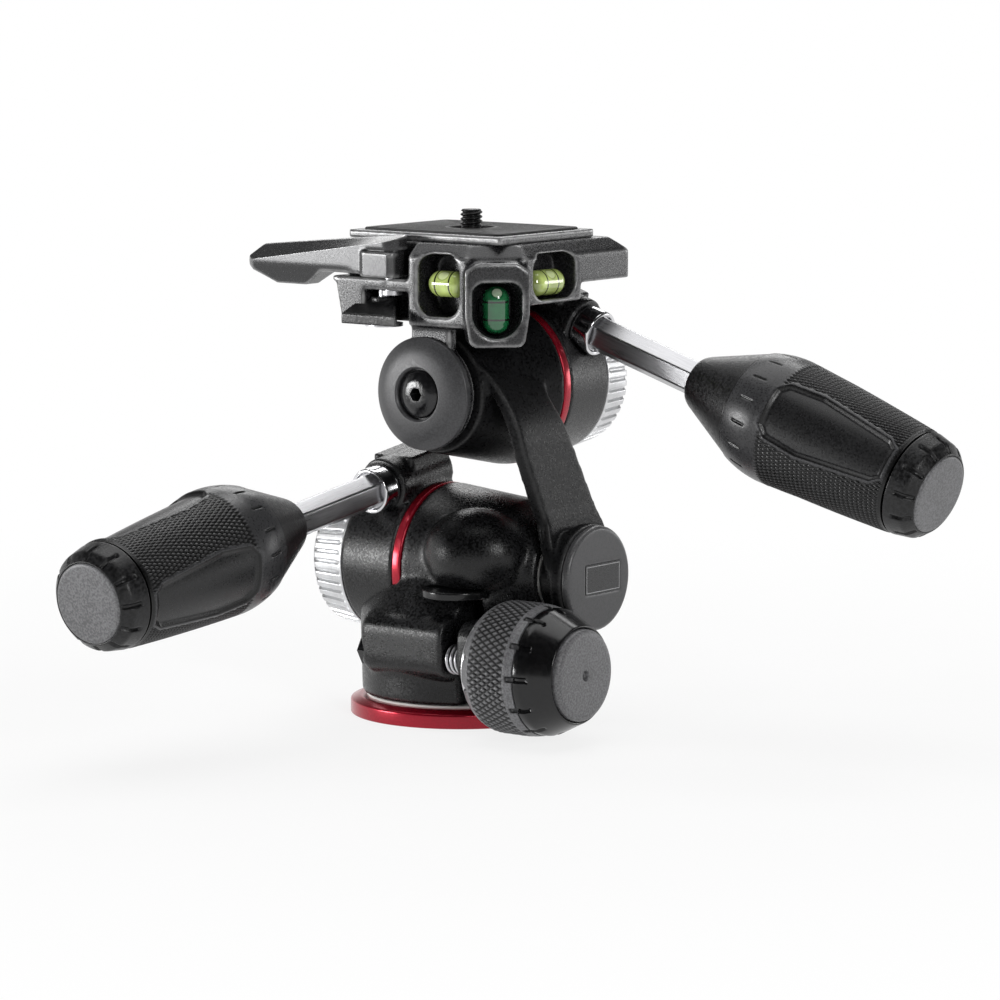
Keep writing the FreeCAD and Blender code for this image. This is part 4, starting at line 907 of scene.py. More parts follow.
def settle(made: bpy.types.Object, body: str, finish: Finish,
           replaces: Sequence[str] = ()) -> bpy.types.Object:
    """Dress a piece, make it ride on its body and hide the CAD nodes that it stands for.

    Args:
        made: The piece.
        body: The CAD body that it rides on.
        finish: Its finish.
        replaces: CAD nodes that it stands for.

    Returns:
        The piece.
    """
    made.data.materials.clear()
    made.data.materials.append(finish.material())
    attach(made, body)
    if replaces:
        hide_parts(*replaces)
    log.info("%s: %d faces", made.name, len(made.data.polygons))
    return made


def dress(node: bpy.types.Object, finish: Finish) -> None:
    """Give a CAD node, which is shown as it is and its finish.

    Args:
        node: The CAD node.
        finish: Its finish.
    """
    node.data.materials.clear()
    node.data.materials.append(finish.material())
    log.info("%s: shown as it is", node.name)


def ring_faces(rows: int, around: int, closed: bool) -> np.ndarray:
    """Return the quads of a grid that wraps round.

    Args:
        rows: Number of rows along the profile.
        around: Number of points in a row.
        closed: Whether the last row joins the first.

    Returns:
        Four vertex numbers for each quad.
    """
    row = np.arange(rows if closed else rows - 1)[:, None]
    column = np.arange(around)[None]
    after = (row + 1) % rows
    beside = (column + 1) % around
    quads = np.stack([row * around + column, row * around + beside,
                      after * around + beside, after * around + column], axis=-1)
    return quads.reshape(-1, 4)


# From distance along the axis, angle about it and radius to the height on that radius.
Relief = Callable[[np.ndarray, np.ndarray, np.ndarray], np.ndarray]


@dataclass
class Turned:
    """A piece turned from a profile about an axis, with an optional relief on it.

    The surface is radius(s) + relief(x(s), angle), at x(s) along the axis, for a profile
    (x(s), radius(s)) with rounded corners.

    Attributes:
        name: The piece's name.
        axis: Its axis.
        corners: Its profile's corners (x, radius, fillet). Two on the axis close it.
        around: Points round the axis.
        spacing: Longest step along the profile.
        relief: Height added to the radius, from x, angle and radius.
    """

    name: str
    axis: Axis
    corners: Sequence[tuple]
    around: int = 96
    spacing: float = 50.0
    relief: Relief | None = None

    def build(self, body: str, finish: Finish, slot: Slot, replaces: Sequence[str] = (),
              sharp: float = 40.0) -> bpy.types.Object:
        """Make the piece.

        Args:
            body: The CAD body that it rides on.
            finish: Its finish.
            slot: The record's slot of that finish; not used.
            replaces: CAD nodes that it stands for.
            sharp: Edges that bend more than this many degrees stay sharp.

        Returns:
            The piece.
        """
        line = refined(rounded(self.corners), self.spacing)
        poles = line[:, 1] < NOTHING
        if poles.any():
            line = np.roll(line, -int(np.flatnonzero(poles & np.roll(poles, 1))[0]), axis=0)
        rim = line[line[:, 1] >= NOTHING]
        angle = np.linspace(0, TURN, self.around, endpoint=False)
        x, turn = np.meshgrid(rim[:, 0], angle, indexing="ij")
        radius = np.repeat(rim[:, 1:], self.around, axis=1)
        height = self.relief(x, turn, radius) if self.relief else np.zeros_like(radius)
        points = self.axis.place(x, radius + height, turn).reshape(-1, 3)
        faces = [ring_faces(len(rim), self.around, not poles.any())]
        if poles.any():
            ends = line[line[:, 1] < NOTHING]
            tips = self.axis.place(ends[[0, -1], 0], np.zeros(2), np.zeros(2))
            faces += self.fans(len(rim))
            points = np.concatenate([points, tips])
        made = mesh_object(self.name, points, faces, body, finish, replaces, sharp)
        if self.relief:
            sunk = np.zeros(len(points), np.float32)
            sunk[:x.size] = -height.ravel()
            layer = made.data.attributes.new(SUNK, "FLOAT", "POINT")
            layer.data.foreach_set("value", sunk)
        return made

    def fans(self, rows: int) -> list[np.ndarray]:
        """Return the triangles from the first and last row to the two tips on the axis.

        Args:
            rows: How many rows of points the piece has. The tips come after them.

        Returns:
            Three vertex numbers for each triangle.
        """
        column = np.arange(self.around)
        beside = (column + 1) % self.around
        total = rows * self.around
        last = total - self.around
        return [np.stack([np.full(self.around, total), beside, column], axis=-1),
                np.stack([np.full(self.around, total + 1), last + column, last + beside],
                         axis=-1)]


def neighbours(edges: np.ndarray, values: np.ndarray) -> np.ndarray:
    """Return the mean of each vertex's neighbours.

    Args:
        edges: Vertex numbers of each edge.
        values: One row for each vertex.

    Returns:
        One row for each vertex.
    """
    count = len(values)
    ends = np.concatenate([edges[:, 0], edges[:, 1]])
    others = np.concatenate([edges[:, 1], edges[:, 0]])
    degree = np.maximum(np.bincount(ends, minlength=count), 1)
    sums = [np.bincount(ends, values[others, k], count) for k in range(values.shape[1])]
    return np.stack(sums, axis=1) / degree[:, None]


# From points in millimetres to points moved.
Shaping = Callable[[np.ndarray], np.ndarray]


@dataclass
class Cast:
    """A CAD node's shape, made into an even mesh and relaxed until its edges are round.

    Each step moves every vertex half way to the mean of its neighbours. The distance that is left
    between the two then says how sharply the surface bends: the bend is four times it over the
    cell's square. It is kept as the attribute that finishes read to lighten edges, for wear and as
    painted highlight.

    Attributes:
        node: The CAD node.
        cell: Edge length of the even mesh.
        steps: How often the mesh is relaxed.
        shape: A change to the points in millimetres before that.
        sharp: Bend, in 1/mm, that counts as a full edge.
        weld: Points of the CAD mesh nearer than this are one.
    """

    node: str
    cell: float = 0.45
    steps: int = 8
    shape: Shaping | None = None
    sharp: float = 0.6
    weld: float = 0.002

    def even(self, source: bpy.types.Object) -> bpy.types.Mesh:
        """Return the node's mesh rebuilt from small even quads.

        Args:
            source: The CAD node.

        Returns:
            The new mesh.
        """
        work = bmesh.new()
        work.from_mesh(source.data)
        bmesh.ops.remove_doubles(work, verts=work.verts, dist=self.weld * MM)
        welded = bpy.data.meshes.new(self.node + "_welded")
        work.to_mesh(welded)
        work.free()
        holder = bpy.data.objects.new(self.node + "_holder", welded)
        bpy.context.scene.collection.objects.link(holder)
        remesh = holder.modifiers.new("even", "REMESH")
        remesh.mode = "VOXEL"
        remesh.voxel_size = self.cell * MM
        ready = holder.evaluated_get(bpy.context.evaluated_depsgraph_get())
        mesh = bpy.data.meshes.new_from_object(ready)
        mesh.name = self.node + "_cast"
        bpy.data.objects.remove(holder)
        bpy.data.meshes.remove(welded)
        return mesh

    def build(self, frame: dict, finish: Finish, slot: Slot) -> bpy.types.Object:
        """Make the piece.

        Args:
            finish: The piece's finish.
            slot: The record's slot of that finish; not used.

        Returns:
            The piece.
        """
        source = frame["nodes"][self.node]
        mesh = self.even(source)
        points = np.empty(len(mesh.vertices) * 3)
        mesh.vertices.foreach_get("co", points)
        points = points.reshape(-1, 3) / MM
        edges = np.empty(len(mesh.edges) * 2, np.int64)
        mesh.edges.foreach_get("vertices", edges)
        edges = edges.reshape(-1, 2)
        if self.shape:
            points = self.shape(points)
        for _ in range(self.steps):
            points += (neighbours(edges, points) - points) * 0.5
        mesh.vertices.foreach_set("co", (points * MM).ravel())
        mesh.polygons.foreach_set("use_smooth", np.ones(len(mesh.polygons), bool))
        mesh.update()
        normals = np.empty(len(points) * 3)
        mesh.vertices.foreach_get("normal", normals)
        offset = neighbours(edges, points) - points
        bend = -4 * np.einsum("ij,ij->i", offset, normals.reshape(-1, 3)) / self.cell ** 2
        for _ in range(2):
            bend = neighbours(edges, bend[:, None])[:, 0]
        edge = smoothstep(self.sharp * 0.3, self.sharp, bend)
        layer = mesh.attributes.new(EDGE, "FLOAT", "POINT")
        layer.data.foreach_set("value", edge.astype(np.float32))
        made = bpy.data.objects.new(self.node + "_cast", mesh)
        bpy.context.scene.collection.objects.link(made)
        return settle(made, source["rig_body"], finish, [self.node])


# ------------------------------------------------------------------ shared axes

@dataclass
class Layout:
    """The axes of the head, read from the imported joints.

    Attributes:
        joints: The joints by name.
    """

    joints: dict[str, dict]

    @classmethod
    def of(cls, frame: dict) -> "Layout":
        """Return the layout of a loaded frame."""
        return cls({joint["name"]: joint for joint in frame["joints"]})

    def axis(self, joint: str, direction: Sequence[float] | None = None) -> Axis:
        """Return a joint's axis, in the joint's own direction unless another is given.

        Args:
            joint: The joint's name.
            direction: A direction to give it in place of its own.

        Returns:
            The axis.
        """
        row = self.joints[joint]
        origin = [value / MM for value in row["pos_m"]]
        return Axis.through(origin, direction or row["axis"])


def span(node: str, index: int) -> tuple[float, float]:
    """Return a node's low and high end on one world axis, in millimetres."""
    low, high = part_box(node)
    return low[index] / MM, high[index] / MM


# ------------------------------------------------------------------ handles

def diamonds(x: np.ndarray, angle: np.ndarray, count: int, pitch: float) -> np.ndarray:
    """Return the height, 0 to 1, of a knurl of crossed helical grooves.

    Two families of triangle waves run round the piece in opposite directions. The height
    is the lower of the two, so that each cell is a four sided point.

    Args:
        x: Distance along the axis.
        angle: Angle about it.
        count: Grooves of each family round the piece.
        pitch: Length of one cell along the axis.

    Returns:
        The height at each point.
    """
    turn = angle * count / TURN
    waves = [np.abs(((x / pitch + way * turn) % 1.0) * 2 - 1) for way in (1, -1)]
    return np.minimum(*waves)


def notches(angle: np.ndarray, radius: np.ndarray, count: int, width: float,
            soft: float = 0.25) -> np.ndarray:
    """Return 1 inside evenly spaced slots that run along the axis and 0 between them.

    Args:
        angle: Angle about the axis, from the first slot.
        radius: Distance from it.
        count: How many slots there are.
        width: Their width.
        soft: Half the width of the slope at their sides.
    """
    off = np.abs(wrapped(angle, count)) * radius
    return 1 - smoothstep(width / 2 - soft, width / 2 + soft, off)


def sleeve(xs: np.ndarray, radii: np.ndarray, core: float) -> list[Sequence[float]]:
    """Return a sleeve's profile: its outer line, closed along the core.

    Args:
        xs: Distances along the axis.
        radii: The outer radius at each of them.
        core: Radius of the core.
    """
    outer = np.stack([xs, radii, np.zeros_like(xs)], axis=1)
    return [(xs[0], core, 0), *outer, (xs[-1], core, 0)]


@dataclass
class Grip:
    """A handle's moulded grip: nose cone, sleeve with three panels, end ring and cap.

    Places are pairs of a distance along the rod and a radius.

    Attributes:
        stage: "tilt" or "lateral".
        axis: The rod's axis, from the point nearest the barrel's axis.
        clock: Angle of the first panel's middle, in degrees.
        panels: How many panels the sleeve has.
        nose: The front end.
        shoulder: Where the nose meets the sleeve.
        belly: Where the sleeve is widest.
        ring: Where the sleeve meets the end ring.
        corner: The end ring's outer corner.
        rim: Where the core ends.
        face: The cap's edge.
        lip: How far along the end ring reaches.
        bore: Radius of the hole for the rod.
        core: Radius of the core under the sleeve.
        cells: Knurl points round the sleeve.
        pitch: Length of a knurl point.
        knurl: Depth of the knurl.
        crown: By how much the knurl is raised before its points are cut off flat.
        knurled: The stretch of the sleeve that has the knurl.
        stations: Distances along the rod at which a panel's half width is given.
        widths: The half widths.
        frame: Where the plain frame of a panel ends and where the knurl is full height.
        depth: How deep a panel lies.
        slope: Width of a panel's sloping side.
        ticked: The stretch that has the tick marks.
        ticks: How many tick marks there are.
        seam: The stretch that the groove before the end ring takes.
        teeth_run: The stretch that the end ring's slots take.
        teeth_count: How many slots there are.
    """

    stage: str
    axis: Axis
    clock: float
    panels: int = 3
    nose: tuple[float, float] = (53.5, 6.8)
    shoulder: tuple[float, float] = (73.4, 16.0)
    belly: tuple[float, float] = (83.2, 17.7)
    ring: tuple[float, float] = (126.6, 14.7)
    corner: tuple[float, float] = (132.0, 13.5)
    rim: float = 132.6
    face: tuple[float, float] = (134.8, 10.8)
    lip: float = 134.4
    bore: float = 5.2
    core: float = 11.0
    cells: int = 92
    pitch: float = 2.9
    knurl: float = 0.42
    crown: float = 1.7
    knurled: Stretch = ((86.0, 86.8), (124.8, 125.4))
    stations: tuple[float, ...] = (85.4, 88.2, 98.5, 121.5, 124.4)
    widths: tuple[float, ...] = (5.2, 8.6, 9.6, 6.6, 4.4)
    frame: tuple[float, float] = (0.5, 1.0)
    depth: float = 1.05
    slope: float = 1.5
    ticked: Stretch = ((77.0, 77.4), (81.0, 81.4))
    ticks: int = 16
    seam: Stretch = ((125.3, 125.6), (126.1, 126.4))
    teeth_run: Stretch = ((128.6, 129.3), (133.7, 134.2))
    teeth_count: int = 12

    @property
    def start(self) -> float:
        """Where the sleeve's first row of points lies."""
        return self.shoulder[0] + GAP

    def radius(self, x: np.ndarray) -> np.ndarray:
        """Return the sleeve's plain radius: arcs from shoulder to belly to ring.

        Args:
            x: Distance along the axis.

        Returns:
            The radius at each point.
        """
        (x0, low), (x1, high), (x2, end) = self.shoulder, self.belly, self.ring
        rise = (x - x0) / (x1 - x0)
        fall = (x - x1) / (x2 - x1)
        front = low + (high - low) * (1 - (1 - rise) ** 2)
        back = high - (high - end) * (0.6 * fall + 0.4 * fall ** 2)
        return np.where(x < x1, front, back)

    def panel(self, x: np.ndarray, angle: np.ndarray) -> np.ndarray:
        """Return how far inside a panel's outline a point is, in millimetres.

        The outline is a long hexagon: narrow at both ends and widest a third of the way.

        Args:
            x: Distance along the axis.
            angle: Angle about it.

        Returns:
            The distance, negative outside the outline.
        """
        off = wrapped(angle - math.radians(self.clock), self.panels)
        across = np.interp(x, self.stations, self.widths) - np.abs(off) * self.radius(x)
        ends = np.minimum(x - self.stations[0], self.stations[-1] - x)
        return np.minimum(across, ends)

    def relief(self, x: np.ndarray, angle: np.ndarray, radius: np.ndarray) -> np.ndarray:
        """Return the sleeve's relief: knurl, sunk panels in plain frames, tick marks.

        Args:
            x: Distance along the axis.
            angle: Angle about it.
            radius: The plain radius there.

        Returns:
            The height at each point.
        """
        inside = self.panel(x, angle)
        points = diamonds(x - self.start, angle, self.cells, self.pitch) * self.crown
        knurl = (np.minimum(points, 1) - 1) * self.knurl
        field = smoothstep(*self.frame, -inside) * between(x, self.knurled)
        sunk = -self.depth * smoothstep(0.0, self.slope, inside)
        lip = 0.05 * between(inside, ((-1.0, -0.4), (-0.2, 0.3)))
        ticks = 0.3 * notches(angle, radius, self.ticks, 0.6, 0.15) * between(x, self.ticked)
        seam = 0.25 * between(x, self.seam)
        height = knurl * field + sunk + lip - ticks - seam - GAP
        return np.where(radius > self.core + 1.0, height, 0.0)

    def teeth(self, x: np.ndarray, angle: np.ndarray, radius: np.ndarray) -> np.ndarray:
        """Return the end ring's relief: short slots across its outer corner."""
        slots = notches(angle, radius, self.teeth_count, 1.1, 0.3) * between(x, self.teeth_run)
        return np.where(radius > self.face[1] + 0.25, -0.85 * slots, 0.0)

    def build(self) -> None:
        """Make the grip's four pieces."""
        stage, body = self.stage, self.stage + "_grip"
        (front, mouth), (waist, wide) = self.nose, self.shoulder
        (back, radius), (end, cap) = self.ring, self.face
        waist, ledge, hole = waist - 0.15, self.rim + GAP, cap + 0.06
        Turned(stage + "_nose", self.axis, [
            (front, self.bore, 0.3), (front, mouth - 0.1, 0.9), (front + 1.6, mouth + 0.9, 0.5),
            (waist, wide - 0.25, 0.3), (waist, self.core, 0),
            (self.rim, self.core, 0), (self.rim, self.bore, 0)], 128).build(
                body, PLASTIC, Slot.PLASTIC, [stage + "_grip_core"])
        xs = np.arange(self.start, back - 0.1, self.pitch / 6)
        Turned(stage + "_sleeve", self.axis, sleeve(xs, self.radius(xs), self.core),
               self.cells * 6, 6.0, self.relief).build(
                   body, RUBBER, Slot.RUBBER, [stage + "_grip_sleeve"], 60.0)
        Turned(stage + "_end_ring", self.axis, [
            (back + 0.1, self.core, 0), (back + 0.1, radius - 0.1, 0.4), (*self.corner, 0.7),
            (self.lip, hole + 0.3, 0.3), (self.lip - 0.1, hole, 0.1), (ledge, hole, 0),
            (ledge, self.core, 0)], 360, 0.36, self.teeth).build(
                body, PLASTIC, Slot.PLASTIC, [stage + "_grip_ring"])
        Turned(stage + "_end_cap", self.axis, [
            (ledge, 0, 0), (ledge, cap, 0), (end - 0.35, cap, 0.4), (end, cap - 0.7, 0.5),
            (end, 0, 0)], 120, 5.0).build(body, LIT_CAP, Slot.PLASTIC, [stage + "_grip_cap"])


@dataclass
class Rod:
    """A chromed hexagonal rod, with its threaded end and its collar.

    Attributes:
        stage: "tilt" or "lateral".
        axis: Its axis, from the point nearest the barrel's axis.
        flat: From the axis to a flat.
        thread: Radius of the threaded end.
        start: Where that starts.
        collar: Start, end and radius of the collar.
        end: Where the rod ends.
        recess: Radius of the collar's recess for the rod.
    """

    stage: str
    axis: Axis
    flat: float = 4.35
    thread: float = 4.0
    start: float = -8.0
    collar: tuple[float, float, float] = (12.55, 18.6, 6.5)
    end: float = 124.0
    recess: float = 5.25

    def hexagon(self, x: np.ndarray, angle: np.ndarray, radius: np.ndarray) -> np.ndarray:
        """Return what turns the shank's circle into a hexagon with slightly round corners.

        The distance from the middle to a flat is flat / cos(angle from the flat's middle),
        and the corner is cut to a circle a little under the hexagon's own.

        Args:
            x: Distance along the axis.
            angle: Angle about it.
            radius: The plain radius there.

        Returns:
            The height at each point.
        """
        off = wrapped(angle + TURN / 12, 6)
        shape = np.minimum(self.flat / np.cos(off), self.flat * 1.128)
        return np.where(x > self.collar[1] - 0.99, shape - radius, 0.0)

    def build(self) -> None:
        """Make the rod and the collar."""
        stage, body = self.stage, self.stage + "_handle"
        start, thread, end, recess = self.start, self.thread, self.end, self.recess
        low, high, radius = self.collar
        chrome = Streaked(stage + "_chrome", (0.42, 0.42, 0.432), 0.32, 1.0, grain=0.16,
                          relief=0.004, mottle=0.12, spread=0.1, along=plain(self.axis.along))
        round_chrome = self.axis.lathed(stage + "_collar_chrome", (0.66, 0.66, 0.675), 0.14, 1.0,
                                        grain=0.2, relief=0.004, mottle=0.1, spread=0.08)
        Turned(stage + "_rod_bar", self.axis, [
            (start, 0, 0), (start, thread - 0.4, 0.3), (start + 1, thread, 0),
            (high - 1.0, thread, 0), (high - 0.98, self.flat, 0), (end, self.flat, 0),
            (end, 0, 0)], 120, 8.0, self.hexagon).build(
                body, chrome, Slot.CHROME, [stage + "_rod"], 25.0)
        Turned(stage + "_collar_disc", self.axis, [
            (low, thread, 0), (low, radius - 0.1, 0.5), (high, radius - 0.1, 1.1),
            (high, recess, 0.4), (high - 1.0, recess - 0.15, 0.2), (high - 1.0, thread, 0)],
            96, 2.0).build(body, round_chrome, Slot.CHROME, [stage + "_collar"])


# ------------------------------------------------------------------ barrels

@dataclass
class RingSet:
    """The turned rings on one barrel's end: accent, friction ring, cover and screw.

    Attributes:
        stage: "tilt" or "lateral".
        axis: The barrel's axis.
        start: Where the accent ring starts.
        body: The body of the cover and its screw.
        accent: Width of the accent ring.
        handle: Width of the handle ring, which comes next.
        width: Width of the friction ring, which comes after that.
        gap: Gap between two rings.
        ribs: Ribs round the friction ring.
        groove: Depth of the grooves between them.
        bore: Radius of the friction ring's hole.
        cover: Thickness and radius of the cover.
        shank: Length and radius of the screw's shank under the cover.
        head: Radius of the screw's head.
    """

    stage: str
    axis: Axis
    start: float
    body: str
    accent: float = 2.9
    handle: float = 19.2
    width: float = 11.1
    gap: float = 0.15
    ribs: int = 44
    groove: float = 0.95
    bore: float = 8.06
    cover: tuple[float, float] = (2.4, 16.4)
    shank: tuple[float, float] = (10.8, 2.5)
    head: float = 5.4

    @property
    def friction(self) -> tuple[float, float]:
        """Where the friction ring starts and ends along the axis."""
        start = self.start + self.accent + self.gap + self.handle + self.gap
        return start, start + self.width

    def fluted(self, x: np.ndarray, angle: np.ndarray, radius: np.ndarray) -> np.ndarray:
        """Return the friction ring's relief: narrow grooves between broad crowned ribs.

        Args:
            x: Distance along the axis.
            angle: Angle about it.
            radius: The plain radius there.

        Returns:
            The height at each point.
        """
        begin, end = self.friction
        run = between(x, ((begin + 1.0, begin + 1.8), (end - 0.3, end + 0.2)))
        off = np.abs(wrapped(angle, self.ribs)) / (TURN / self.ribs / 2)
        groove = 1 - smoothstep(0.14, 0.5, off)
        return np.where(radius > 17.0, -self.groove * groove * run, 0.0)

    def build(self) -> None:
        """Make the rings."""
        stage = self.stage
        ring_body = {"tilt": "pan_body", "lateral": "tilt_stage"}[stage]
        low, high = self.start + 0.02, self.start + self.accent - 0.02
        Turned(stage + "_accent", self.axis, [
            (low, 13.0, 0), (low, 22.5, 0.5), (high, 22.5, 0.5), (high, 13.0, 0)], 160).build(
                ring_body, RED, Slot.RED, [stage + "_accent_ring"])
        machined = self.axis.lathed(stage + "_machined", (0.66, 0.665, 0.675), 0.34, 0.75,
                                    grain=0.14, relief=0.008, mottle=0.14, spread=0.12)
        begin, end = self.friction
        Turned(stage + "_friction", self.axis, [
            (begin, self.bore, 0), (begin, 20.8, 0.4), (end, 19.4, 0.9), (end, self.bore, 0)],
            self.ribs * 14, 0.9, self.fluted).build(
                stage + "_friction", machined, Slot.MACHINED, [stage + "_friction_ring"])
        (thick, wide), (deep, shank) = self.cover, self.shank
        low = end + self.gap
        seat, top = low + thick / 2, low + thick
        Turned(stage + "_cover", self.axis, [
            (low, shank + 0.02, 0), (low, wide, 0.3), (top, wide, 0.8), (top, 5.7, 0.3),
            (seat, 5.52, 0), (seat, shank + 0.02, 0)], 120).build(
                self.body, LIT_CAP, Slot.PLASTIC, [stage + "_end_cover"])
        Turned(stage + "_screw", self.axis, [
            (low - deep, 0, 0), (low - deep, shank, 0.3), (seat, shank, 0),
            (seat, self.head, 0), (top, self.head, 0.5), (top + 0.65, 3.0, 0.8),
            (top + 0.65, 0, 0)], 96, 4.0).build(
                self.body, DARK_STEEL, Slot.DARK_STEEL, [stage + "_end_screw"])


# ------------------------------------------------------------------ pan knob

@dataclass
class Knob:
    """The pan clamp's knob: rubber sleeve, slotted end ring and flat cap.

    Places are pairs of a distance along the axis and a radius.

    Attributes:
        axis: The knob's axis.
        start: Where its metal collar starts.
        rim: The sleeve's left rim.
        belly: Where the sleeve is widest.
        crest: Where it starts to narrow again.
        band: Where it meets the end ring.
        end: The end ring's outer end.
        face: Where the cap's face lies.
        cap: The cap's radius.
        core: Radius of the hub under the sleeve.
        collar: Radii of the metal collar's neck and flange.
        bore: Radius of the hole for the bolt.
        slots: How many slots cross the joint of the sleeve and the end ring.
        slotted: The stretch that they take.
        nicks: Where the notches in the left rim end.
        cells: Scales round the sleeve.
        pitch: Length of a scale.
        scaly: The stretch that has scales.
    """

    axis: Axis
    start: float = 28.95
    rim: tuple[float, float] = (31.4, 15.2)
    belly: tuple[float, float] = (37.5, 18.1)
    crest: float = 44.0
    band: tuple[float, float] = (50.0, 17.4)
    end: tuple[float, float] = (60.2, 13.2)
    face: float = 61.8
    cap: float = 12.5
    core: float = 13.6
    collar: tuple[float, float] = (10.95, 14.2)
    bore: float = 5.05
    slots: int = 12
    slotted: Stretch = ((47.6, 48.4), (53.2, 54.4))
    nicks: float = 34.2
    cells: int = 60
    pitch: float = 3.0
    scaly: Stretch = ((35.0, 35.6), (46.6, 47.2))

    def radius(self, x: np.ndarray) -> np.ndarray:
        """Return the sleeve's plain radius.

        Args:
            x: Distance along the axis.

        Returns:
            The radius at each point.
        """
        (x0, low), (x1, high), (x2, end) = self.rim, self.belly, self.band
        rise = np.clip((x - x0) / (x1 - x0), 0, 1)
        fall = np.clip((x - self.crest) / (x2 - self.crest), 0, 1)
        return low + (high - low) * (1 - (1 - rise) ** 2) - (high - end) * fall ** 2

    def slot(self, x: np.ndarray, angle: np.ndarray, radius: np.ndarray) -> np.ndarray:
        """Return the short slots that cross the joint of the sleeve and the ring."""
        return notches(angle, radius, self.slots, 1.3, 0.3) * between(x, self.slotted)

    def skin(self, x: np.ndarray, angle: np.ndarray, radius: np.ndarray) -> np.ndarray:
        """Return the sleeve's relief: scales, slots, and notches in the left rim.

        Args:
            x: Distance along the axis.
            angle: Angle about it.
            radius: The plain radius there.

        Returns:
            The height at each point.
        """
        scales = np.minimum(diamonds(x - self.rim[0], angle, self.cells, self.pitch) * 1.35, 1)
        scales = -0.55 * (1 - scales) ** 2 * between(x, self.scaly)
        reach = np.clip((self.nicks - x) / (self.nicks - self.rim[0]), 0, 1)
        nick = notches(angle + TURN / self.slots / 2, radius / np.maximum(reach, 0.02),
                       self.slots, 2.2, 0.3) * (reach > 0)
        height = scales - 1.1 * nick - 1.2 * self.slot(x, angle, radius)
        return np.where(radius > self.core + 0.8, height, 0.0)

    def band_relief(self, x: np.ndarray, angle: np.ndarray, radius: np.ndarray) -> np.ndarray:
        """Return the end ring's relief: the far ends of the slots."""
        return np.where(radius > self.cap + 0.6, -self.slot(x, angle, radius), 0.0)

    def build(self) -> None:
        """Make the knob's pieces."""
        rim, band, end, core, cap = self.rim, self.band, self.end, self.core, self.cap
        xs = np.arange(rim[0] + GAP, band[0] - GAP, self.pitch / 10)
        Turned("knob_sleeve", self.axis, sleeve(xs, self.radius(xs), core),
               self.cells * 8, 6.0, self.skin).build(
                   "pan_knob", SCALES, Slot.RUBBER, ["pan_knob_sleeve"], 60.0)
        Turned("knob_ring", self.axis, [
            (band[0] + GAP, core, 0), (band[0] + GAP, band[1] - 0.1, 0.3),
            (band[0] + 2.0, band[1] - 0.1, 0.8), (end[0], end[1] + GAP, 0.5),
            (end[0] - 0.3, cap + 0.1, 0.2), (band[0] + 5.0, cap + 0.1, 0)],
            360, 0.5, self.band_relief).build(
                "pan_knob", GLOSS_PLASTIC, Slot.PLASTIC, ["pan_knob_ring"])
        face, back, dimple = self.face, self.face - 4, self.face - 1.2
        Turned("knob_cap", self.axis, [
            (back, 0, 0), (back, cap - GAP, 0), (face - 0.7, cap - GAP, 0.8),
            (face, cap - 1.1, 1.0), (face, 1.4, 0.3), (dimple, 1.1, 0.2), (dimple, 0, 0)],
            120, 4.0).build("pan_knob", LIT_CAP, Slot.PLASTIC, ["pan_knob_cap"])
        metal = self.axis.lathed("knob_collar_metal", (0.6, 0.6, 0.61), 0.3, 0.9,
                                 grain=0.15, relief=0.006, mottle=0.1)
        neck, flange = self.collar
        Turned("knob_collar", self.axis, [
            (self.start, self.bore, 0), (self.start, neck, 0.4), (rim[0] - 1.1, neck, 0),
            (rim[0] - 1.1, flange, 0.3), (rim[0] - GAP, flange, 0.2),
            (rim[0] - GAP, self.bore, 0)], 120).build("pan_knob", metal, Slot.MACHINED)
        Turned("knob_hub", self.axis, [
            (rim[0], self.bore, 0), (rim[0], core, 0), (back, core, 0), (back, self.bore, 0)],
            96).build("pan_knob", PLASTIC, Slot.PLASTIC, ["pan_knob_hub"])


# ------------------------------------------------------------------ base and trim

@dataclass
class Base:
    """The red base ring with its bevelled top.

    Attributes:
        bore: Radius of its hole.
        bevel: Height and width of the bevel.
    """

    bore: float = 7.02
    bevel: tuple[float, float] = (1.1, 2.6)

    def build(self) -> None:
        """Make the ring."""
        reach, top = span("base_ring", 0)[1], span("base_ring", 2)[1]
        down, inwards = self.bevel
        Turned("base_plate_ring", Axis.through((0, 0, 0), (0, 0, 1)), [
            (0, self.bore, 0), (0, reach - GAP, 0.4), (top - down, reach - GAP, 0.5),
            (top, reach - inwards, 0.4), (top, self.bore, 0)], 200, 6.0).build(
                "base", RED, Slot.RED, ["base_ring"])


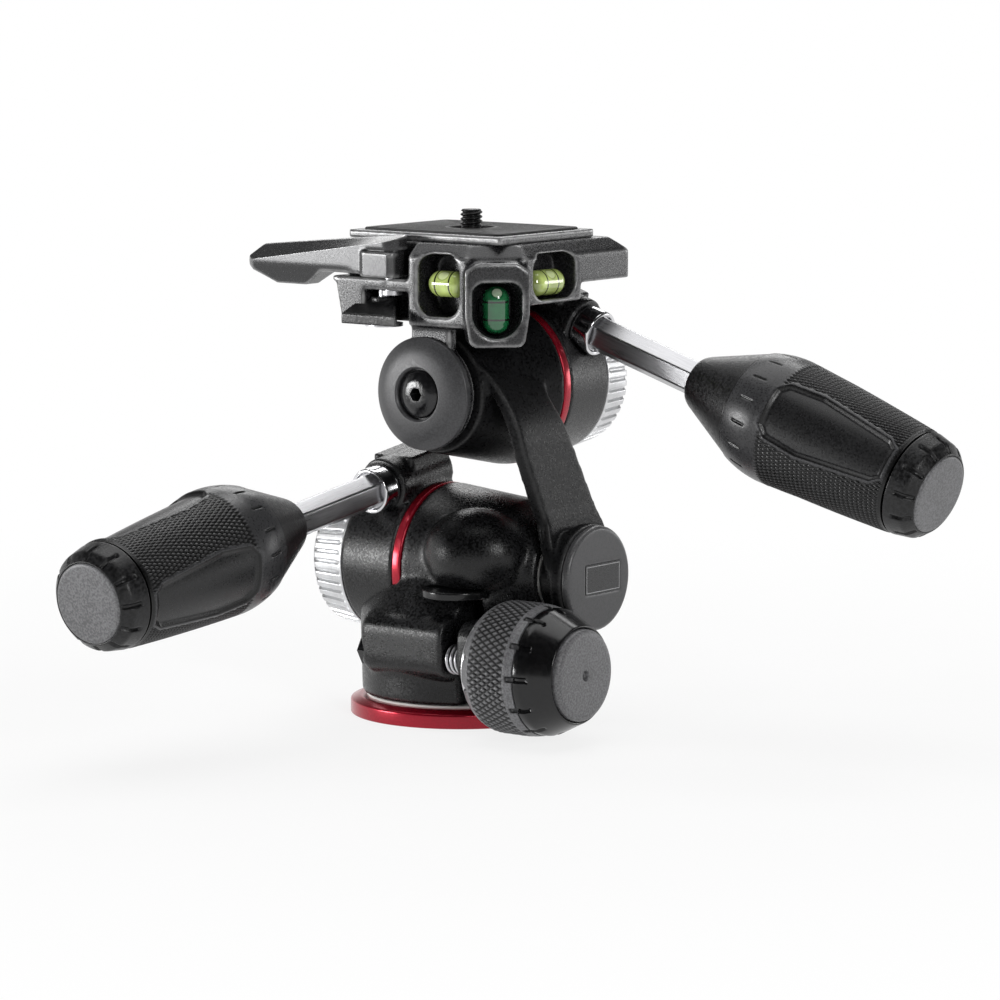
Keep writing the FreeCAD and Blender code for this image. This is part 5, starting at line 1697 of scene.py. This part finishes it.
@dataclass
class FrontCap:
    """The flat cap on the lateral axis, with its domed socket screw.

    Attributes:
        axis: The lateral axis, pointing to the front.
        back: Where the cap starts.
        face: Where it ends.
        reach: Its radius.
        well: Radius of the well for the screw's head.
        seat: Where the bottom of that lies.
        tip: Where the screw starts.
        top: Where it ends.
        shank: Radius of its shank.
        head: Radius of its head.
        hole: Radius of the circle that the socket is made from.
        flat: From the axis to a flat of the socket.
    """

    axis: Axis
    back: float = 28.3
    face: float = 32.2
    reach: float = 15.5
    well: float = 7.0
    seat: float = 30.0
    tip: float = 16.2
    top: float = 32.55
    shank: float = 2.5
    head: float = 6.55
    hole: float = 1.9
    flat: float = 1.75

    def socket(self, x: np.ndarray, angle: np.ndarray, radius: np.ndarray) -> np.ndarray:
        """Return what turns the screw's centre hole into a hexagon."""
        hexagon = self.flat / np.cos(wrapped(angle, 6))
        return np.where(radius < self.hole + 0.3, hexagon - radius, 0.0)

    def build(self) -> None:
        """Make the cap and the screw."""
        back, face, reach, well, seat = self.back, self.face, self.reach, self.well, self.seat
        bore, floor = self.shank + 0.02, self.seat + 1.0
        Turned("front_cap_dome", self.axis, [
            (back, bore, 0), (back, reach, 0.2), (back + 1.4, reach, 0.5),
            (face - 0.7, 12.2, 4.0), (face, well + 0.5, 0.2), (face - 0.6, well, 0.15),
            (seat, well, 0), (seat, bore, 0)], 160, 3.0).build(
                "lateral_stage", CAP_SATIN, Slot.CAST, ["front_cap"])
        Turned("front_screw", self.axis, [
            (self.tip, 0, 0), (self.tip, self.shank, 0.2), (seat, self.shank, 0),
            (seat, self.head, 0), (seat + 1.2, self.head, 0.6), (self.top - 0.15, 4.0, 1.0),
            (self.top, self.hole + 0.2, 0.15), (self.top - 0.25, self.hole, 0),
            (floor, self.hole, 0), (floor, 0, 0)], 96, 2.0, self.socket).build(
                "lateral_stage", BLACK_STEEL, Slot.DARK_STEEL, ["hex_screw"], 30.0)


# ------------------------------------------------------------------ plate and screw

@dataclass
class CameraScrew:
    """The quarter inch screw: head, neck and helical thread.

    Attributes:
        axis: Its axis, from the ground up.
        low: Height of its underside.
        top: Height of its tip.
        radius: Radius of the thread.
        pitch: The thread's pitch.
        depth: The thread's depth.
        cut: The stretch that has the thread, from the tip.
        neck: Radius of the neck.
        head: Thickness and radius of the head.
    """

    axis: Axis
    low: float
    top: float
    radius: float = 3.05
    pitch: float = 1.27
    depth: float = 0.62
    cut: Stretch = ((-5.4, -4.9), (-0.7, -0.2))
    neck: float = 2.5
    head: tuple[float, float] = (2.4, 8.4)

    def thread(self, x: np.ndarray, angle: np.ndarray, radius: np.ndarray) -> np.ndarray:
        """Return the thread's relief: a helical V that fades out at both ends.

        Args:
            x: Distance along the axis.
            angle: Angle about it.
            radius: The plain radius there.

        Returns:
            The height at each point.
        """
        phase = (x / self.pitch - angle / TURN) % 1.0
        groove = 1 - np.clip(np.abs(phase - 0.5) * 3 - 0.15, 0, 1)
        height = -self.depth * groove * between(x - self.top, self.cut)
        return np.where(radius > self.neck - 0.5, height, 0.0)

    def build(self) -> None:
        """Make the screw."""
        low, top, radius, neck = self.low, self.top, self.radius, self.neck
        thick, wide = self.head
        Turned("camera_bolt", self.axis, [
            (low, 0, 0), (low, wide, 0.3), (low + thick, wide, 0.3), (low + thick, neck, 0),
            (top - 5.6, neck, 0), (top - 4.95, radius, 0.1), (top - 0.55, radius - 0.03, 0.15),
            (top, radius - 0.6, 0.1), (top, 0, 0)], 96, 0.09, self.thread).build(
                "screw", DARK_STEEL, Slot.DARK_STEEL, ["camera_screw"], 60.0)


@dataclass
class Pad:
    """The plate's ribbed rubber pad, with a round recess about the screw.

    Attributes:
        centre: Middle of the recess in X and Y.
        hole: Radius of the recess.
        rib: Distance from rib to rib.
        ribbed: Where the plain margin ends and where the ribs are full height.
        groove: Depth between the ribs.
        chamfer: Width and height of the chamfer along the edge.
        square: Power of the rounded rectangle: the higher, the sharper its corners.
        around: Points round the recess.
        rings: Points from the recess to the edge.
    """

    centre: tuple[float, float]
    hole: float = 6.2
    rib: float = 1.15
    ribbed: tuple[float, float] = (0.9, 1.3)
    groove: float = 0.28
    chamfer: tuple[float, float] = (0.35, 0.22)
    square: int = 24
    around: int = 480
    rings: int = 150

    def build(self) -> None:
        """Make the pad as a height field over its outline.

        The height is a crowned wave across the ribs, which stops at a plain margin and at
        the edge of the hole, and the edges are lowered by a small chamfer. The outline is a
        rounded rectangle, |x / half length| ** square + |y / half width| ** square = 1.
        """
        (x0, x1), (y0, y1), (z0, z1) = (span("plate_pad", k) for k in range(3))
        angle = np.linspace(0, TURN, self.around, endpoint=False)
        c, s = np.cos(angle), np.sin(angle)
        half_x, half_y = (x1 - x0) / 2 - 0.02, (y1 - y0) / 2 - 0.02
        outer = ((np.abs(c) / half_x) ** self.square
                 + (np.abs(s) / half_y) ** self.square) ** (-1 / self.square)
        share = np.linspace(0, 1, self.rings)[:, None]
        reach = self.hole + (outer - self.hole) * share
        x = self.centre[0] + reach * c
        y = self.centre[1] + reach * s
        edge = np.minimum(outer - reach, reach - self.hole)
        wave = 0.5 - 0.5 * np.cos(TURN * y / self.rib)
        grooves = self.groove * (1 - wave ** 0.6) * smoothstep(*self.ribbed, edge)
        width, height = self.chamfer
        top = z1 - grooves - height * (1 - smoothstep(0, width, edge))
        upper = np.stack([x, y, top], axis=-1)
        lower = np.stack([x[[-1, 0]], y[[-1, 0]], np.full((2, self.around), z0)], axis=-1)
        points = np.concatenate([upper, lower]).reshape(-1, 3)
        faces = [ring_faces(self.rings + 2, self.around, True)]
        mesh_object("pad_ribbed", points, faces, "plate", PAD, ["plate_pad"], 50.0)


# ------------------------------------------------------------------ carried-over nodes

@dataclass
class LeverForm:
    """The lever's hand shape: a roof along its top and a belly that narrows downwards.

    Attributes:
        front: Where the front face lies.
        left: Where the tip lies.
        right: Where the other end lies.
        high: Height of the lever's top.
        ridge: How far below that the front face's top edge is, at the tip and the other end.
        top: How far below it the back edge of the roof is, at the tip and the other end.
        roof: Width of the sloping top.
        hub: Where the hand ends and where the hub's block starts.
        belly: Heights at which the hand starts to narrow and is narrowest.
        narrow: Share by which it narrows.
        middle: From the front face to the plane that it narrows towards.
    """

    front: float
    left: float
    right: float
    high: float
    ridge: tuple[float, float] = (9.6, 1.6)
    top: tuple[float, float] = (4.8, 0.0)
    roof: float = 6.5
    hub: tuple[float, float] = (-17.5, -11.5)
    belly: tuple[float, float] = (126.0, 120.0)
    narrow: float = 0.34
    middle: float = 4.3

    @classmethod
    def of(cls, node: str) -> "LeverForm":
        """Return the form that fits a node."""
        (left, right), (front, _), (_, high) = (span(node, k) for k in range(3))
        return cls(front, left, right, high)

    def __call__(self, points: np.ndarray) -> np.ndarray:
        """Return the points below the roof, and drawn in towards the belly.

        The roof is a plane across the lever from the ridge up to the top, and its two
        heights run straight from the tip to the other end.

        Args:
            points: Points in millimetres.

        Returns:
            The points where they belong.
        """
        x, y, z = points.T
        share = (x - self.left) / (self.right - self.left)
        ridge, top = (self.high - tip - (end - tip) * share for tip, end in (self.ridge, self.top))
        across = np.clip((y - self.front) / self.roof, 0, 1)
        z = np.minimum(z, ridge + (top - ridge) * across)
        hand = 1 - smoothstep(*self.hub, x)
        drawn = 1 - self.narrow * smoothstep(*self.belly, z) * hand
        middle = self.front + self.middle
        return np.stack([x, middle + (y - middle) * drawn, z], axis=1)


@dataclass
class Castings:
    """The CAD nodes that keep their own shapes.

    Attributes:
    """

    frame: dict

    def cast(self) -> None:
        """Round the edges of the castings and mouldings."""
        rows = (
            (Cast("pan_housing", 0.62, 7), CAST, Slot.CAST),
            (Cast("tilt_arm", 0.5, 8), ARM, Slot.CAST),
            (Cast("tilt_handle_ring", 0.42, 7), CAST, Slot.CAST),
            (Cast("lateral_handle_ring", 0.42, 7), CAST, Slot.CAST),
            (Cast("qr_body", 0.45, 7), GUNMETAL, Slot.GUNMETAL),
            (Cast("plate_lever", 0.32, 6, LeverForm.of("plate_lever")), LEVER, Slot.LEVER),
            (Cast("safety_catch", 0.24, 6), PLASTIC, Slot.PLASTIC),
            (Cast("qr_plate", 0.36, 3), GUNMETAL, Slot.GUNMETAL),
            (Cast("slot_cover", 0.22, 6), GLOSS_PLASTIC, Slot.PLASTIC),
            (Cast("arm_end_cap", 0.3, 5), CAP_SATIN, Slot.CAST),
        )
        for piece, finish, slot in rows:
            piece.build(self.frame, finish, slot)

    def keep(self) -> None:
        """Dress the small nodes that are shown as they are."""
        rows = {
            BRASS: (Slot.BRASS, ["thread_insert", "pan_knob_insert"]),
            DARK_STEEL: (Slot.DARK_STEEL, ["base_screws", "retaining_screw", "arm_bolt"]),
            BEARING: (Slot.BEARING, ["pan_washer", "knob_washer", "tilt_bushes",
                                     "lateral_bushes"]),
            STEEL: (Slot.STEEL, ["pan_spigot", "clamp_spring", "lever_pin", "catch_pin"]),
            BLACK_STEEL: (Slot.STEEL, ["clamp_bolt"]),
            SHAFT: (Slot.MACHINED, ["tilt_shaft", "lateral_shaft"]),
        }
        for finish, (slot, nodes) in rows.items():
            for node in nodes:
                dress(self.frame["nodes"][node], finish)

    def build(self) -> None:
        """Round the castings, and dress the nodes that are shown as they are."""
        self.cast()
        self.keep()
        (y0, y1), (z0, z1) = span("label_plate", 1), span("label_plate", 2)
        label = Label("label_film", (0.006, 0.006, 0.007), 0.3, grain=0.25, relief=0.004,
                      mottle=0.3, centre=((y0 + y1) / 2, (z0 + z1) / 2),
                      half=((y1 - y0) / 2, (z1 - z0) / 2))
        dress(self.frame["nodes"]["label_plate"], label)


@dataclass
class Vials:
    """The two yellow levels and the upright green one.

    Attributes:
    """

    frame: dict

    def build(self) -> None:
        """Dress the three vials."""
        yellow = (0.55, 0.68, 0.2)
        rows = {
            "front_vial": (yellow, (1, 0, 0), (0.0, -2.2, 2.2), Slot.YELLOW, (1.9, 1.5)),
            "side_vial": (yellow, (0, 1, 0), (2.2, 0.0, 2.2), Slot.YELLOW, (1.9, 1.5)),
            "corner_vial": ((0.008, 0.11, 0.035), (0, 0, 1), (1.6, -1.6, 4.6), Slot.GREEN,
                            (1.6, 1.6)),
        }
        for node, (colour, along, bubble, slot, size) in rows.items():
            low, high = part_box(node)
            centre = tuple((a + b) / 2 / MM for a, b in zip(low, high))
            finish = Level(node + "_liquid", colour, 0.08, grain=3.0, relief=0.01, mottle=0.15,
                           spread=0.04, coat=1.0, centre=centre, along=along,
                           bubble_at=bubble, bubble=size)
            dress(self.frame["nodes"][node], finish)


# ------------------------------------------------------------------ studio

@dataclass(frozen=True)
class Lamp:
    """A soft area lamp, in metres and watts.

    Attributes:
        name: Its name.
        place: Where it hangs.
        size: Its width and height.
        power: Its power.
    """

    name: str
    place: tuple[float, float, float]
    size: tuple[float, float]
    power: float

    def hang(self, target: Sequence[float]) -> None:
        """Hang the lamp where it belongs.

        Args:
            target: The point that it faces.
        """
        light = bpy.data.lights.new(self.name, "AREA")
        light.shape = "RECTANGLE"
        light.size, light.size_y = self.size
        light.energy = self.power
        lamp = bpy.data.objects.new(self.name, light)
        lamp.location = self.place
        way = Vector(target) - Vector(self.place)
        lamp.rotation_euler = way.to_track_quat("-Z", "Y").to_euler()
        lamp.visible_camera = False
        bpy.context.scene.collection.objects.link(lamp)


LAMPS = (
    Lamp("key", (-1.0, -1.0, 0.1), (0.5, 0.45), 15.0),
    Lamp("top", (-0.2, 0.15, 1.3), (1.2, 1.2), 9.0),
    Lamp("side", (0.78, 1.18, 0.1), (0.3, 0.5), 2.5),
    Lamp("fill", (1.2, -0.6, 0.6), (0.25, 0.5), 6.0),
    Lamp("rear", (-0.18, 0.9, 1.22), (0.6, 0.35), 3.0),
    Lamp("back", (-0.75, 1.0, 0.75), (0.6, 0.35), 2.6),
)


@dataclass
class Studio:
    """The pale floor, soft lamps, white background and camera.

    Attributes:
        azimuth: Side from which the camera looks, in degrees from the front.
        distance: The camera's distance from the head's axis, along the floor.
        height: The camera's height.
        yaw: How far it looks to the right of that axis, in degrees.
        pitch: How far it looks down, in degrees.
        lens: Its focal length.
        target: The point that the lamps face, in metres.
        half: Half the floor's length, in metres.
        near: Distances on the floor between which it turns plain white, in metres.
        dim: Strength of the light that the world gives.
        ceiling: Strength of the ceiling that glossy surfaces mirror.
    """

    azimuth: float = 38.0
    distance: float = 1268.0
    height: float = 226.0
    yaw: float = 0.49
    pitch: float = 7.49
    lens: float = 165.24
    target: tuple[float, float, float] = (0.02, -0.01, 0.075)
    half: float = 6.0
    near: tuple[float, float] = (0.1, 0.4)
    dim: float = 0.2
    ceiling: float = 0.12

    def floor(self) -> None:
        """Lay a wide floor that shows white to the camera and keeps the object's shadow."""
        corners = [(x * self.half, y * self.half, 0)
                   for x, y in ((-1, -1), (1, -1), (1, 1), (-1, 1))]
        mesh = bpy.data.meshes.new("floor")
        mesh.from_pydata(corners, [], [(0, 1, 2, 3)])
        floor = bpy.data.objects.new("floor", mesh)
        bpy.context.scene.collection.objects.link(floor)
        graph = Graph(bpy.data.materials.new("floor"))
        spot = graph.spot()
        tone = graph.noise(spot, 40.0, 3.0)
        colour = graph.mix(tone, (0.86, 0.86, 0.86), (0.9, 0.9, 0.9))
        matt = graph.node("ShaderNodeBsdfDiffuse", {}, {"Color": colour})
        glow = graph.node("ShaderNodeEmission", {}, {"Color": (1, 1, 1, 1), "Strength": 1.0})
        away = graph.vector("LENGTH", spot, output="Value")
        share = graph.seen() * away.ramp(*self.near, 0.82, 1.0)
        mixed = graph.node("ShaderNodeMixShader", {}, {0: share, 1: matt, 2: glow})
        floor.data.materials.append(graph.finish(mixed))

    def world(self) -> None:
        """Make a white wall behind the head under a dark ceiling, and a dim light."""
        world = bpy.data.worlds.new("studio")
        bpy.context.scene.world = world
        graph = Graph(world)
        way = graph.node("ShaderNodeTexCoord", output="Generated")
        height = graph.node("ShaderNodeSeparateXYZ", {}, {0: way}, "Z")
        wall = height.ramp(0.1, 0.45, 1.0, self.ceiling)
        a = math.radians(self.azimuth)
        ahead = graph.vector("DOT_PRODUCT", way, (-math.sin(a), math.cos(a), 0), "Value")
        lit = wall * ahead.ramp(-0.1, 0.35, self.ceiling, 1.0)
        camera = graph.node("ShaderNodeLightPath", output="Is Camera Ray")
        shown = lit.most(camera)
        strength = graph.seen() * (shown - self.dim) + self.dim
        back = graph.node("ShaderNodeBackground", {}, {
            "Color": (1, 1, 1, 1), "Strength": strength})
        graph.node("ShaderNodeOutputWorld", {}, {"Surface": back})

    def camera(self) -> None:
        """Set the camera up from its azimuth, height and aim."""
        a, y, p = (math.radians(v) for v in (self.azimuth, self.yaw, self.pitch))
        flat = Vector((-math.sin(a), math.cos(a), 0))
        right = Vector((math.cos(a), math.sin(a), 0))
        level = flat * math.cos(y) + right * math.sin(y)
        forward = level * math.cos(p) - Vector((0, 0, 1)) * math.sin(p)
        up = level * math.sin(p) + Vector((0, 0, 1)) * math.cos(p)
        side = right * math.cos(y) - flat * math.sin(y)
        data = bpy.data.cameras.new("view")
        data.lens = self.lens
        data.sensor_width = 36.0
        data.clip_start, data.clip_end = 0.05, 50.0
        camera = bpy.data.objects.new("view", data)
        place = Vector((math.sin(a) * self.distance * MM, -math.cos(a) * self.distance * MM,
                        self.height * MM))
        turn = Matrix((side, up, -forward)).transposed().to_4x4()
        camera.matrix_world = Matrix.Translation(place) @ turn
        bpy.context.scene.collection.objects.link(camera)
        bpy.context.scene.camera = camera

    def build(self) -> None:
        """Set the whole studio up."""
        self.floor()
        self.world()
        for lamp in LAMPS:
            lamp.hang(self.target)
        self.camera()
        bpy.context.scene.view_settings.view_transform = "Standard"


# ------------------------------------------------------------------ build

def main(frame: dict) -> None:
    """Build every piece of the head, in order, and then the studio.
    """
    layout = Layout.of(frame)
    tilt = layout.axis("tilt", (-1, 0, 0))
    lateral = layout.axis("lateral", (0, 1, 0))
    Castings(frame).build()
    Vials(frame).build()
    Base().build()
    RingSet("tilt", tilt, 4.1, "tilt_stage").build()
    RingSet("lateral", lateral, 5.2, "lateral_stage").build()
    FrontCap(layout.axis("lateral", (0, -1, 0))).build()
    Knob(layout.axis("pan_knob_turn")).build()
    for stage, clock in (("tilt", 18.0), ("lateral", 65.0)):
        axis = layout.axis(stage + "_handle_twist")
        Rod(stage, axis).build()
        Grip(stage, axis, clock).build()
    screw = layout.axis("camera_screw_turn")
    base = (screw.origin[0], screw.origin[1], 0.0)
    low, top = span("camera_screw", 2)
    CameraScrew(Axis.through(base, (0, 0, 1)), low, top).build()
    Pad((screw.origin[0], screw.origin[1])).build()
    Studio().build()


if __name__ == "__main__":
    logging.basicConfig(level=logging.INFO, format="%(message)s")
    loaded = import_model()
    main(loaded)
